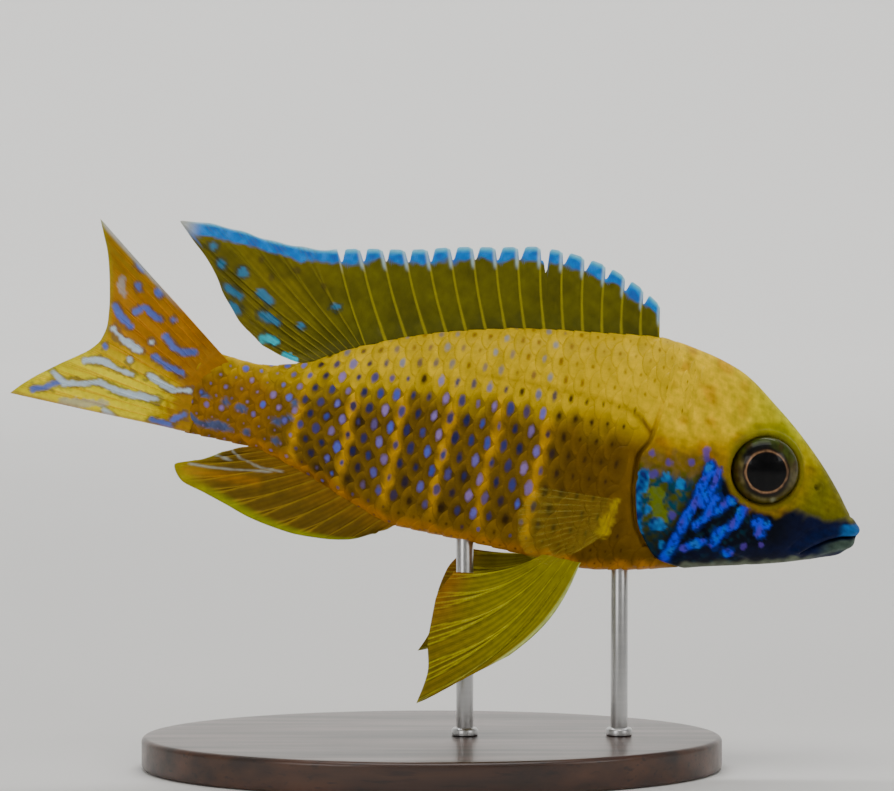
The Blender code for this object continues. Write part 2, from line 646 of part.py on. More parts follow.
def belly_height(x: float) -> float:
    """World height of the belly's lowest line at a world x, in millimetres."""
    places = np.linspace(*BELLY_SPAN, 400)
    line = place(np.stack((places, 0.0 * places, bottom_line(places)), 1)) / MM
    order = np.argsort(line[:, 0])
    return float(np.interp(x, line[order, 0], line[order, 2]))


def build_stand(parts: bpy.types.Collection, base_material: bpy.types.Material,
                rod_material: bpy.types.Material) -> None:
    """Oval base with two thin rods up to the belly, their tops sloped like the skin above them."""
    mesh = bpy.data.meshes.new("stand_base")
    model = bmesh.new()
    bmesh.ops.create_cone(model, cap_ends=True, segments=BASE_SEGMENTS, radius1=0.5, radius2=0.5, depth=1.0)
    model.transform(Matrix.Diagonal((BASE_LENGTH * MM, BASE_WIDTH * MM, BASE_HEIGHT * MM, 1.0)))
    model.to_mesh(mesh)
    model.free()
    base = add_object("stand_base", mesh, parts, base_material)
    base.location = (0.0, 0.0, BASE_HEIGHT / 2 * MM)
    edge = base.modifiers.new("edge", "BEVEL")
    edge.width = BASE_BEVEL * MM
    edge.segments = BASE_BEVEL_SEGMENTS
    edge.limit_method = "ANGLE"
    foot = BASE_HEIGHT + CLEARANCE
    for name, x in ROD_PLACES.items():
        mesh = bpy.data.meshes.new(name)
        model = bmesh.new()
        bmesh.ops.create_cone(model, cap_ends=True, segments=ROD_SEGMENTS, radius1=ROD_RADIUS * MM,
                              radius2=ROD_RADIUS * MM, depth=MM)
        for vert in model.verts:
            is_top = vert.co.z > 0
            top = belly_height(x + vert.co.x / MM) - CLEARANCE - foot
            vert.co.z = top * MM if is_top else 0.0
        model.to_mesh(mesh)
        model.free()
        rod = add_object(name, mesh, parts, rod_material)
        rod.location = (x * MM, 0.0, foot * MM)


def main() -> None:
    """Clear the scene and build the fish and its stand."""
    for piece in list(bpy.data.objects):
        bpy.data.objects.remove(piece, do_unlink=True)
    parts = bpy.data.collections.new("peacock_cichlid")
    cutters = bpy.data.collections.new("cutters")
    for collection in (parts, cutters):
        bpy.context.scene.collection.children.link(collection)

    skin_material = make_material("scaled_skin", (0.62, 0.46, 0.08), 0.38)
    fin_material = make_material("fin_membrane", (0.72, 0.52, 0.08), 0.35)
    clear_material = make_material("clear_fin", (0.86, 0.72, 0.25), 0.35)
    eye_material = make_material("eye", (0.04, 0.04, 0.03), 0.08)
    base_material = make_material("dark_wood", (0.06, 0.035, 0.02), 0.4)
    rod_material = make_material("steel_rod", (0.62, 0.62, 0.63), 0.3, metallic=1.0)

    body = build_body(parts, skin_material)
    build_eyes(parts, cutters, eye_material)
    build_nostrils(cutters)
    hide_cutter(mouth_cutter(cutters))
    cut_head(body["head"], cutters)
    build_dorsal(parts, fin_material)
    build_caudal(parts, fin_material)
    build_anal(parts, fin_material)
    for name, pose in PELVIC_POSES.items():
        build_pelvic(parts, fin_material, name, pose)
    for name, side in PECTORAL_SIDES.items():
        build_pectoral(parts, clear_material, name, side)
    build_stand(parts, base_material, rod_material)


main()
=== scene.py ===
"""Life-size male peacock cichlid on a plain display stand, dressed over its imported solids.

The fish is laid out along its own straight axis in millimetres: u runs back from the snout, y to the
fish's left and w up from the axis. FishForm.place() bends that axis sideways, pitches it head down and
gives metres in the frame of the solids. Every surface is a grid worked out as whole arrays.
"""

from __future__ import annotations

import logging
import math
from collections.abc import Callable
from dataclasses import dataclass, field
from enum import Enum

import bpy
import numpy as np
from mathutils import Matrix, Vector


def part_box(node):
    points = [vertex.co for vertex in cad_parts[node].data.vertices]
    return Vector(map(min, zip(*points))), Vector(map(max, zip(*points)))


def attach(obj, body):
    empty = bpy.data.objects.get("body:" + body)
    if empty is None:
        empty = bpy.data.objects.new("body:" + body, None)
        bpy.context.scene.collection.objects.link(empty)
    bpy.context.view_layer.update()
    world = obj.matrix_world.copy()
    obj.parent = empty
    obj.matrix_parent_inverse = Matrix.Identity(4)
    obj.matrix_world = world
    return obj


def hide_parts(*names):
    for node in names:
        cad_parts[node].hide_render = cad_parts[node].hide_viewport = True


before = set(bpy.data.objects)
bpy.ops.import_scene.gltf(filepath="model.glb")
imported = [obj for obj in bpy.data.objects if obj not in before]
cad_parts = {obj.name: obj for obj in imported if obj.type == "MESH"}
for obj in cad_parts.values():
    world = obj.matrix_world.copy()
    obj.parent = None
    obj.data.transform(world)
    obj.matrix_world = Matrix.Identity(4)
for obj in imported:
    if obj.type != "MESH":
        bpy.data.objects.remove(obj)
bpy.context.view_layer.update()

LOG = logging.getLogger("peacock_cichlid")
Array = np.ndarray
Path = tuple[tuple[float, float], ...]
Place = tuple[float, float, float]
Tint = tuple[int, int, int]
Painter = Callable[[Array, Array, Array, Array], Array]
Shaper = Callable[[Array, Array, Array], Array]
Reacher = Callable[[Array, Array], Array]
Feed = bpy.types.NodeSocket | float | tuple[float, ...]
MM = 0.001
TINY = 1e-12
WAVES = 14
WAVE_SWING = 5.2
PATH_STEPS = 400
BAKE_MAP = "OFBake"
SEED = 11


class Side(Enum):
    """Which side of the fish a piece belongs to, as the sign of y."""

    LEFT = 1.0
    RIGHT = -1.0

    @property
    def word(self) -> str:
        """Lower-case name of the side."""
        return self.name.lower()


def tint(red: int, green: int, blue: int) -> Array:
    """Scene-linear colour of a display colour given in steps of 0 to 255."""
    display = np.array((red, green, blue)) / 255.0
    return np.where(display <= 0.04045, display / 12.92, ((display + 0.055) / 1.055) ** 2.4)


def ramp(value: Array, low: float, high: float) -> Array:
    """Smooth step: 0 below low, 1 above high, and a cubic ease between them."""
    t = np.clip((value - low) / (high - low), 0.0, 1.0)
    return t * t * (3.0 - 2.0 * t)


def bell(distance: Array, width: float) -> Array:
    """Bell of height one: e to the minus square of distance over width."""
    return np.exp(-((distance / width) ** 2))


def blend(base: Array | Tint, colour: Array | Tint, mask: Array) -> Array:
    """Base colours moved towards another colour by a mask of 0 to 1; a tint stands for its linear colour."""
    base, colour = (tint(*given) if isinstance(given, tuple) else given for given in (base, colour))
    return base + (colour - base) * np.clip(mask, 0.0, 1.0)[..., None]


def wobble(u: Array, w: Array, scale: float, seed: int) -> Array:
    """Smooth uneven field of about -1 to 1: a sum of sine waves of random slant, length and phase."""
    draw = np.random.default_rng(seed)
    total = np.zeros(np.broadcast(u, w).shape)
    slants, lengths, phases = (draw.uniform(0.0, math.tau, WAVES), draw.uniform(0.45, 1.7, WAVES),
                               draw.uniform(0.0, math.tau, WAVES))
    for slant, length, phase in zip(slants, lengths, phases):
        rate = math.tau / (scale * length)
        total += math.sqrt(length) * np.sin((u * math.cos(slant) + w * math.sin(slant)) * rate + phase)
    return total / WAVE_SWING


def path_distance(u: Array, w: Array, path: Path) -> Array:
    """Distance in the side view from each point to a path of straight spans, or to a single point."""
    points = np.array(path, dtype=float)
    if len(points) == 1:
        return np.hypot(u - points[0, 0], w - points[0, 1])
    best = np.full(np.shape(u), np.inf)
    for (u0, w0), (u1, w1) in zip(points[:-1], points[1:]):
        span = (u1 - u0) ** 2 + (w1 - w0) ** 2
        t = np.clip(((u - u0) * (u1 - u0) + (w - w0) * (w1 - w0)) / span, 0.0, 1.0)
        best = np.minimum(best, np.hypot(u - u0 - t * (u1 - u0), w - w0 - t * (w1 - w0)))
    return best


def stroke(u: Array, w: Array, paths: tuple[Path, ...], half_width: float, seed: int) -> Array:
    """Mask of a set of strokes: one inside them, easing to zero at an uneven edge."""
    best = np.min([path_distance(u, w, path) for path in paths], axis=0)
    broad = 0.26 * wobble(u, w, 1.6, seed) + 0.3 * wobble(u, w, 4.2, seed + 1)
    edge = half_width * (1.0 + broad + 0.2 * wobble(u, w, 0.75, seed + 2))
    return ramp(edge - best, -0.19, 0.19)


@dataclass(frozen=True)
class Curve:
    """Smooth curve through (distance, value) stations that never swings past them.

    Each span is a cubic whose end slopes are the harmonic mean of the chords on both sides. A blunt curve
    is drawn over the root of the distance from its first station, which rounds its start.
    """

    stations: Path
    blunt: bool = False

    def __call__(self, distance: Array) -> Array:
        """Value of the curve at each distance."""
        where, value = np.array(self.stations, dtype=float).T
        if self.blunt:
            distance = np.sqrt(np.maximum(distance - where[0], 0.0))
            where = np.sqrt(where - where[0])
        slope = np.diff(value) / np.diff(where)
        same_way = slope[:-1] * slope[1:] > 0
        safe = np.where(same_way, slope[:-1] + slope[1:], 1.0)
        inner = np.where(same_way, 2.0 * slope[:-1] * slope[1:] / safe, 0.0)
        tangent = np.concatenate((slope[:1], inner, slope[-1:]))
        k = np.clip(np.searchsorted(where, distance, side="right") - 1, 0, len(where) - 2)
        span = where[k + 1] - where[k]
        t = np.clip((distance - where[k]) / span, 0.0, 1.0)
        first = (1 + 2 * t) * (1 - t) ** 2 * value[k] + t * (1 - t) ** 2 * span * tangent[k]
        second = t * t * (3 - 2 * t) * value[k + 1] + t * t * (t - 1) * span * tangent[k + 1]
        return first + second


def along(points: Path, places: Array) -> Array:
    """Points on a smooth path through the given ones.

    Args:
        points: points that the path passes through, of any dimension.
        places: shares of the path's length, 0 to 1.

    Returns:
        One point for each place, evenly timed along the path's length.
    """
    given = np.array(points, dtype=float)
    travel = np.concatenate(([0.0], np.cumsum(np.linalg.norm(np.diff(given, axis=0), axis=1))))
    fine = np.linspace(0.0, travel[-1], PATH_STEPS)
    dense = np.stack([Curve(tuple(zip(travel, axis)))(fine) for axis in given.T], 1)
    length = np.concatenate(([0.0], np.cumsum(np.linalg.norm(np.diff(dense, axis=0), axis=1))))
    return np.stack([np.interp(places * length[-1], length, axis) for axis in dense.T], 1)


@dataclass
class FishForm:
    """The fish's bare form and pose, the same as that of the solids."""

    pitch: float = math.radians(11.0)
    snout: tuple[float, float] = (64.3, 37.1)
    bend_start: float = 52.0
    bend_rate: float = 0.0016
    nose: tuple[float, float] = (-0.3, -1.3)
    back_power: float = 1.22
    belly_power: float = 1.05
    tail_thinning: float = 0.62
    tail_thin_length: float = 5.5
    top: Curve = Curve(((-0.3, -1.3), (0.1, 0.1), (1.5, 1.5), (3.6, 4.2), (7.5, 8.5), (14.9, 14.9),
                        (22.0, 19.6), (28.5, 21.4), (34.5, 22.2), (43.8, 21.2), (55.8, 19.5), (67.5, 16.6),
                        (79.0, 12.2), (87.4, 7.9), (93.2, 6.5), (105.0, 7.6)), blunt=True)
    bottom: Curve = Curve(((-0.3, -1.3), (0.1, -2.7), (0.8, -3.9), (1.8, -5.0), (4.7, -6.1), (10.4, -8.0),
                           (22.2, -10.9), (34.0, -13.7), (39.9, -14.5), (58.6, -13.8), (68.5, -13.6),
                           (75.9, -11.4), (84.2, -8.4), (93.1, -6.2), (105.0, -6.0)), blunt=True)
    half_width: Curve = Curve(((-0.3, 0.0), (0.1, 1.5), (1.0, 2.6), (3.0, 3.5), (8.0, 5.0), (16.0, 6.6),
                               (24.0, 7.7), (32.0, 8.4), (39.0, 8.7), (47.0, 8.5), (56.0, 7.8), (66.0, 6.5),
                               (76.0, 5.1), (86.0, 3.7), (94.0, 2.7), (100.0, 1.9), (105.0, 1.2)), blunt=True)
    widest: Curve = Curve(((-0.3, -1.3), (8.0, 0.2), (16.0, 2.4), (34.0, 3.2), (50.0, 2.8), (70.0, 1.4),
                           (105.0, 0.6)))
    gill: Curve = Curve(((-1.0, 24.5), (-0.94, 26.6), (-0.86, 29.2), (-0.69, 31.5), (-0.53, 33.1),
                         (-0.35, 34.0), (-0.17, 34.6), (0.05, 34.7), (0.2, 33.4), (0.6, 32.2), (1.0, 31.0)))
    tail: Curve = Curve(((-1.0, 104.0), (0.0, 102.8), (1.0, 99.4)))
    end: float = 106.0
    gill_guess: float = 33.0
    tail_guess: float = 102.0
    probe: float = 0.05
    ridge_share: float = 0.985
    stations: int = 260
    sweep_steps: int = 721
    steps: int = 181
    roots: Array = field(init=False, repr=False)
    angles: Array = field(init=False, repr=False)
    girths: Array = field(init=False, repr=False)

    def __post_init__(self) -> None:
        """Tabulate the angle at each even share of the way round from the belly to the back."""
        self.roots = np.linspace(self.probe, math.sqrt(self.end - self.nose[0]), self.stations)
        sweep = np.linspace(-math.pi / 2, math.pi / 2, self.sweep_steps)
        u = self.nose[0] + self.roots[:, None] ** 2
        points = self.ring_point(u, np.broadcast_to(sweep, (self.stations, self.sweep_steps)), 1.0)
        steps = np.linalg.norm(np.diff(points[..., 1:], axis=1), axis=-1)
        travel = np.concatenate((np.zeros((self.stations, 1)), np.cumsum(steps, axis=1)), axis=1)
        self.girths = travel[:, -1]
        shares = np.linspace(0.0, 1.0, self.steps)
        self.angles = np.stack([np.interp(shares * row[-1], row, sweep) for row in travel])

    def ring_point(self, u: Array, angle: Array, side: Array | float) -> Array:
        """Points of the body: a ring squeezed towards the back and belly by powers of the cosine.

        Args:
            u: distance behind the snout.
            angle: minus a quarter turn at the belly, 0 on the flank, a quarter turn at the back.
            side: sign of y.

        Returns:
            Points (u, y, w).
        """
        rise = np.sin(angle)
        middle = self.widest(u)
        reach = np.where(rise > 0, self.top(u) - middle, middle - self.bottom(u))
        power = np.where(rise > 0, self.back_power, self.belly_power)
        thin = 1.0 - self.tail_thinning * ramp(u - self.tail(rise), -self.tail_thin_length, 0.0)
        y = self.half_width(u) * np.abs(np.cos(angle)) ** power * side * thin
        return np.stack(np.broadcast_arrays(u, y, middle + reach * rise), -1)

    def angle(self, u: Array, share: Array) -> Array:
        """Angle at a share of the way from belly (-1) to back (1), read between the table's entries.

        Args:
            u: distance behind the snout.
            share: share from belly (-1) to back (1).

        Returns:
            Angles for ring_point.
        """
        row = np.interp(np.sqrt(np.maximum(u - self.nose[0], 0.0)), self.roots, np.arange(self.stations))
        column = np.clip((share + 1.0) / 2.0, 0.0, 1.0) * (self.steps - 1)
        i = np.clip(row.astype(int), 0, self.stations - 2)
        j = np.clip(column.astype(int), 0, self.steps - 2)
        a, b = row - i, column - j
        table = self.angles
        low = (1 - b) * table[i, j] + b * table[i, j + 1]
        high = (1 - b) * table[i + 1, j] + b * table[i + 1, j + 1]
        return (1 - a) * low + a * high

    def girth(self, u: Array) -> Array:
        """Length of the skin from belly to back over one side."""
        return np.interp(np.sqrt(np.maximum(u - self.nose[0], 0.0)), self.roots, self.girths)

    def surface(self, u: Array, share: Array, side: Array | float) -> Array:
        """Points (u, y, w) of the body at a share of the way from belly to back."""
        return self.ring_point(u, self.angle(u, share), side)

    def normal(self, u: Array, share: Array, side: Array | float) -> Array:
        """Outward unit normals: the cross product of small steps along and round the body.

        Args:
            u: distance behind the snout.
            share: share from belly (-1) to back (1).
            side: sign of y.

        Returns:
            Vectors (u, y, w) of length one.
        """
        before = np.maximum(u - self.probe, self.nose[0] + 0.01)
        ahead = self.surface(u + self.probe, share, side) - self.surface(before, share, side)
        inner = np.clip(share, -self.ridge_share, self.ridge_share)
        up = self.surface(u, inner + 0.01, side) - self.surface(u, inner - 0.01, side)
        cross = np.cross(up, ahead) * np.asarray(side)[..., None]
        cross[..., 1] *= np.clip((1.0 - np.abs(share)) / (1.0 - self.ridge_share), 0.0, 1.0)
        return cross / (np.linalg.norm(cross, axis=-1, keepdims=True) + TINY)

    def edge(self, curve: Curve, guess: float, share: Array) -> Array:
        """Distance of a sloping edge at each share, found by three repeated readings of its curve."""
        u = np.full(np.shape(share), guess)
        for _ in range(3):
            u = curve(np.sin(self.angle(u, share)))
        return u

    def gill_edge(self, share: Array) -> Array:
        """Distance of the gill cover's rear edge at each share."""
        return self.edge(self.gill, self.gill_guess, share)

    def tail_edge(self, share: Array) -> Array:
        """Distance of the scaled body's rear edge at each share."""
        return self.edge(self.tail, self.tail_guess, share)

    def flank(self, u: float, w: float) -> float:
        """Distance of the bare flank from the middle plane at a point of the side view.

        Args:
            u: distance behind the snout.
            w: height in the side view.

        Returns:
            Size of y in millimetres.
        """
        at = np.array(u)
        middle = float(self.widest(at))
        above = w > middle
        reach = float(self.top(at)) - middle if above else middle - float(self.bottom(at))
        rise = min(1.0, abs(w - middle) / reach)
        power = self.back_power if above else self.belly_power
        return float(self.half_width(at)) * math.sqrt(1.0 - rise**2) ** power

    def place(self, points: Array) -> Array:
        """Bend the axis by a square law, pitch it and move it into the frame of the solids, in metres."""
        u, y, w = np.moveaxis(np.asarray(points, dtype=float), -1, 0)
        y = y + self.bend_rate * np.maximum(u - self.bend_start, 0.0) ** 2
        x = self.snout[0] - (u * math.cos(self.pitch) - w * math.sin(self.pitch))
        z = self.snout[1] + (u * math.sin(self.pitch) + w * math.cos(self.pitch))
        return np.stack((x, y, z), -1) * MM


def make_mesh(name: str, points: Array, quads: Array, triangles: Array | None = None) -> bpy.types.Mesh:
    """Mesh from whole arrays of points and faces, shaded smooth.

    Args:
        name: name of the mesh.
        points: places in metres, one row each.
        quads: four indices a row.
        triangles: three indices a row.

    Returns:
        The mesh.
    """
    triangles = np.zeros((0, 3), dtype=int) if triangles is None else triangles
    mesh = bpy.data.meshes.new(name)
    mesh.vertices.add(len(points))
    mesh.vertices.foreach_set("co", np.ascontiguousarray(points, dtype=np.float32).ravel())
    corners = np.concatenate((quads.ravel(), triangles.ravel())).astype(np.int32)
    mesh.loops.add(len(corners))
    mesh.loops.foreach_set("vertex_index", corners)
    starts = np.concatenate((np.arange(len(quads)) * 4, len(quads) * 4 + np.arange(len(triangles)) * 3))
    mesh.polygons.add(len(starts))
    mesh.polygons.foreach_set("loop_start", starts.astype(np.int32))
    mesh.update(calc_edges=True)
    mesh.shade_smooth()
    return mesh


def set_colours(mesh: bpy.types.Mesh, name: str, colours: Array) -> None:
    """Store one colour a vertex as a named attribute."""
    layer = mesh.attributes.new(name, "FLOAT_COLOR", "POINT")
    full = np.concatenate((colours, np.ones((len(colours), 1))), axis=1)
    layer.data.foreach_set("color", full.astype(np.float32).ravel())


def set_values(mesh: bpy.types.Mesh, name: str, values: Array) -> None:
    """Store one number a vertex as a named attribute."""
    layer = mesh.attributes.new(name, "FLOAT", "POINT")
    layer.data.foreach_set("value", np.asarray(values, dtype=np.float32).ravel())


def set_map(mesh: bpy.types.Mesh, name: str, places: Array) -> None:
    """Store a UV map, given as one place for each face corner."""
    layer = mesh.uv_layers.new(name=name)
    layer.data.foreach_set("uv", np.asarray(places, dtype=np.float32).ravel())


def corner_vertices(mesh: bpy.types.Mesh) -> Array:
    """Vertex of every face corner."""
    corners = np.empty(len(mesh.loops), dtype=np.int32)
    mesh.loops.foreach_get("vertex_index", corners)
    return corners


def vertex_places(mesh: bpy.types.Mesh) -> Array:
    """Places of the vertices, one row each."""
    places = np.empty(len(mesh.vertices) * 3, dtype=np.float32)
    mesh.vertices.foreach_get("co", places)
    return places.reshape(-1, 3)


def link_object(name: str, data: bpy.types.ID) -> bpy.types.Object:
    """Object of some data, linked into the scene at the origin."""
    made = bpy.data.objects.new(name, data)
    bpy.context.scene.collection.objects.link(made)
    return made


def add_piece(name: str, mesh: bpy.types.Mesh, material: bpy.types.Material,
              slot: str | None) -> bpy.types.Object:
    """Make an object of a finished mesh in its material; with a slot it rides with the model."""
    piece = link_object(name, mesh)
    mesh.materials.append(material)
    if slot:
        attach(piece, "root")
    LOG.info("%s: %d faces", name, len(mesh.polygons))
    return piece


def grid_faces(rows: int, columns: int, closed: bool) -> Array:
    """Quads of a grid of points, joined round its columns where it is closed."""
    row = np.arange(rows - 1)[:, None]
    column = np.arange(columns if closed else columns - 1)[None, :]
    after = (column + 1) % columns
    quads = np.stack(np.broadcast_arrays(row * columns + column, row * columns + after,
                                         (row + 1) * columns + after, (row + 1) * columns + column), -1)
    return quads.reshape(-1, 4)


def full_turn(count: int) -> Array:
    """Even angles once round, without the repeated last one."""
    return np.linspace(0.0, math.tau, count, endpoint=False)


def end_fans(rows: int, columns: int) -> Array:
    """Triangles that close the first and the last ring of a grid, to the two points that follow it."""
    around = np.arange(columns)
    after = (around + 1) % columns
    first, last = np.full(columns, rows * columns), (rows - 1) * columns
    return np.concatenate((np.stack((first, after, around), 1),
                           np.stack((first + 1, last + around, last + after), 1)))


def grid_rim(rows: int, columns: int) -> Array:
    """Indices of a grid's outer points, once round."""
    index = np.arange(rows * columns).reshape(rows, columns)
    return np.concatenate((index[0, :-1], index[:-1, -1], index[-1, :0:-1], index[:0:-1, 0]))


@dataclass(frozen=True)
class Fold:
    """A raised or sunk line: its path in the side view, its height at the middle and its half width."""

    path: Path
    height: float
    half_width: float


@dataclass(frozen=True)
class HeadRelief:
    """Raised and sunk features of the head, as points of the side view in millimetres."""

    mouth: Path = ((-0.6, -1.8), (2.3, -2.3), (4.4, -3.3), (6.5, -4.7), (7.8, -5.6))
    mouth_depth: float = 1.15
    mouth_half_gap: float = 0.16
    upper_lip: Path = ((-0.6, -0.8), (2.2, -1.2), (4.6, -2.2), (6.8, -3.7), (8.2, -5.2))
    lower_lip: Path = ((-0.6, -2.9), (2.4, -3.5), (4.4, -4.5), (6.3, -5.6))
    lip_height: float = 0.45
    lip_width: float = 0.68
    jaw_crease: Fold = Fold(((1.2, 1.0), (4.6, -0.4), (7.6, -2.4), (9.6, -5.4)), -0.22, 0.35)
    cover_front: Fold = Fold(((24.3, 6.5), (25.0, 0.5), (24.3, -4.2), (21.3, -7.6), (15.5, -8.6)), -0.3, 0.55)
    cheek_fold: Fold = Fold(((20.6, -1.2), (17.6, -4.4), (12.6, -5.2)), -0.12, 0.6)
    eye: tuple[float, float] = (15.8, 5.6)
    eye_radius: float = 5.1
    orbit_height: float = 0.42
    orbit_groove: float = 0.16
    socket_depth: float = 2.6
    nostril: tuple[float, float] = (7.3, 4.6)
    nostril_radius: float = 0.42
    nostril_depth: float = 0.75
    nostril_rim: float = 0.16
    pores: Path = ((8.6, 1.6), (10.3, 0.0), (12.6, -1.3), (15.4, -1.7), (18.4, -1.0), (21.6, 8.6),
                   (23.6, 9.8))
    pore_depth: float = 0.16
    pore_radius: float = 0.22
    rim_height: float = 0.42
    rim_length: float = 4.5
    slit_depth: float = 0.75
    pad_height: float = 0.6
    pad_line: Path = ((36.9, -3.0), (37.5, -5.6), (37.9, -8.0))

    def height(self, u: Array, w: Array, behind: Array) -> Array:
        """Height of the relief over the bare form: bells along each path, and steps at orbit and gill.

        Args:
            u: distance behind the snout.
            w: height over the axis.
            behind: distance behind the gill cover's edge.

        Returns:
            Height in millimetres.
        """
        head = ramp(-behind, 0.0, 0.4)
        lips = bell(path_distance(u, w, self.upper_lip), self.lip_width)
        lips = np.maximum(lips, 0.9 * bell(path_distance(u, w, self.lower_lip), self.lip_width))
        total = self.lip_height * lips
        groove = bell(path_distance(u, w, self.mouth), self.mouth_half_gap) * (1.0 - 0.6 * ramp(u, 4.5, 7.5))
        total -= self.mouth_depth * groove
        for fold in (self.jaw_crease, self.cover_front, self.cheek_fold):
            total += fold.height * bell(path_distance(u, w, fold.path), fold.half_width)
        from_eye = np.hypot(u - self.eye[0], w - self.eye[1])
        total += self.orbit_height * bell(from_eye - self.eye_radius - 0.55, 0.5)
        total -= self.orbit_groove * bell(from_eye - self.eye_radius - 1.6, 0.5)
        total -= self.socket_depth * ramp(self.eye_radius + 0.2 - from_eye, 0.0, 0.75)
        from_nostril = np.hypot(u - self.nostril[0], w - self.nostril[1])
        total += self.nostril_rim * bell(from_nostril - self.nostril_radius - 0.25, 0.2)
        total -= self.nostril_depth * bell(from_nostril, self.nostril_radius)
        for pore in self.pores:
            total -= self.pore_depth * bell(np.hypot(u - pore[0], w - pore[1]), self.pore_radius)
        rise = np.clip((behind + self.rim_length) / self.rim_length, 0.0, 1.0) ** 2
        fade = np.clip((12.0 - w) / 8.0, 0.0, 1.0)
        fade = fade * np.clip((w + 12.8) / 5.0, 0.15, 1.0)
        rim = self.rim_height * rise * fade * ramp(-behind, -0.02, 0.22)
        slit = self.slit_depth * bell(behind - 0.28, 0.34) * np.clip((14.0 - w) / 6.0, 0.0, 1.0)
        pad = self.pad_height * bell(path_distance(u, w, self.pad_line), 0.95) * ramp(behind, 0.2, 1.2)
        return total * head + rim + pad - slit * ramp(behind, -0.1, 0.1)


@dataclass(frozen=True)
class Markings:
    """Colours of the skin and scales as functions of the side view: zones, bars, strokes and flecks."""

    # Yellow of the back: partly the fish's own yellow, partly painted light from above.
    back: Tint = (228, 190, 0)
    ridge: Tint = (176, 186, 6)
    flank: Tint = (140, 106, 6)
    halo: Tint = (52, 38, 8)
    ochre: Tint = (184, 122, 0)
    lip_navy: Tint = (6, 20, 62)
    # Painted highlight: bright yellow of the pad at the pectoral fin's base.
    pad: Tint = (226, 200, 0)
    snout: Tint = (94, 100, 4)
    shoulder: Tint = (116, 84, 2)
    light_bar: Tint = (236, 176, 0)
    belly: Tint = (202, 134, 8)
    stalk: Tint = (168, 118, 12)
    cheek: Tint = (156, 120, 4)
    cover: Tint = (78, 84, 10)
    teal: Tint = (10, 66, 86)
    navy: Tint = (2, 7, 22)
    jaw: Tint = (8, 18, 58)
    throat: Tint = (100, 108, 88)
    deep_blue: Tint = (4, 32, 118)
    blue: Tint = (6, 62, 250)
    cyan: Tint = (14, 132, 214)
    lilac: Tint = (88, 60, 176)
    green: Tint = (112, 128, 4)
    lip_blue: Tint = (10, 104, 178)
    lip_grey: Tint = (66, 84, 74)
    stalk_blue: Tint = (66, 104, 168)
    # Painted shade on the wall of the eye's socket.
    socket_shade: Tint = (66, 66, 8)
    relief: HeadRelief = HeadRelief()
    first_bar: float = 49.1
    bar_step: float = 7.3
    bars: int = 6
    bar_half_width: float = 0.62
    bar_zigzag: float = 2.8
    largest_fleck: float = 0.36
    # Height where the yellow back begins: partly the fish's own yellow, partly painted top light.
    back_and_top_light_level: Curve = Curve(((0.0, 2.0), (10.0, 7.0), (30.0, 8.2), (50.0, 8.4), (65.0, 7.4), (80.0, 5.4),
                               (95.0, 5.2)))
    plate_top: Curve = Curve(((-1.0, 1.3), (2.1, 0.5), (5.9, 0.3), (9.9, 0.7), (13.4, -0.5), (18.2, 0.1),
                              (20.9, 2.5), (23.0, 5.2), (25.0, 6.8), (28.0, 6.2), (34.6, 5.4)))
    lateral: Path = ((60.4, 11.6), (54.3, 11.9), (48.1, 11.7), (42.0, 11.7), (38.0, 10.9), (35.5, 9.9),
                     (33.9, 8.2))
    blue_strokes: tuple[Path, ...] = (
        ((24.0, 4.9), (24.3, 3.0), (24.9, 0.7)), ((22.8, 4.3), (22.9, 2.3), (24.2, -1.0)),
        ((24.8, 0.4), (25.7, -2.5), (26.8, -6.1), (27.8, -10.3)), ((22.5, 0.4), (22.9, -2.3), (24.4, -4.4)),
        ((20.0, 0.3), (21.3, -1.1), (22.7, -2.1)), ((18.0, -0.7), (18.5, -3.0), (20.9, -5.0), (21.3, -6.9)),
        ((15.6, -2.4), (14.0, -2.4)), ((15.0, -2.0), (14.7, -3.9)), ((22.7, -6.6), (25.2, -8.1)),
        ((18.5, -7.6),))
    cyan_strokes: tuple[Path, ...] = (
        ((33.7, 1.8), (33.6, -0.4)), ((33.8, -1.7), (32.9, -7.0)), ((30.2, 1.8),),
        ((30.5, -5.3), (29.4, -5.4)), ((32.0, -3.3),), ((28.0, 1.2),), ((29.0, -8.2),))
    lilac_strokes: tuple[Path, ...] = (
        ((33.0, 5.3),), ((27.1, 4.9),), ((25.1, 7.1), (24.8, 5.8)), ((32.1, 2.1),), ((16.6, -6.2),),
        ((14.0, -5.6),), ((30.4, 4.2),), ((28.2, -3.4),))
    green_strokes: tuple[Path, ...] = (((31.0, -0.9), (29.9, -4.2)),)
    stalk_strokes: tuple[Path, ...] = (
        ((102.6, -3.4), (100.4, -4.1), (98.0, -4.0), (95.8, -4.0)), ((93.4, -4.0),),
        ((89.2, -1.5), (87.3, -0.5)), ((88.8, -4.3),), ((100.9, 0.3), (100.2, 0.2)), ((97.3, -0.1),),
        ((95.2, -0.4), (94.5, -0.6)), ((86.9, 1.8),))

    def bar(self, u: Array, w: Array) -> Array:
        """Strength of the light bars: narrow zigzag bands across the flank, unevenly bright."""
        total = np.zeros(np.shape(u))
        row = w / self.bar_zigzag
        sway = 0.4 * wobble(u * 0.3, w, 9.0, 5) + 1.1 * np.abs(row - np.round(row))
        for k in range(self.bars):
            away = np.abs(u + sway - 0.3 - self.first_bar - k * self.bar_step)
            total = np.maximum(total, ramp(self.bar_half_width - away, -0.4, 0.35))
        reach = ramp(w, -13.0, -8.0) * (1.0 - 0.7 * ramp(w, 8.0, 13.0))
        return total * reach * (0.8 + 0.2 * wobble(u, w, 5.0, 8))

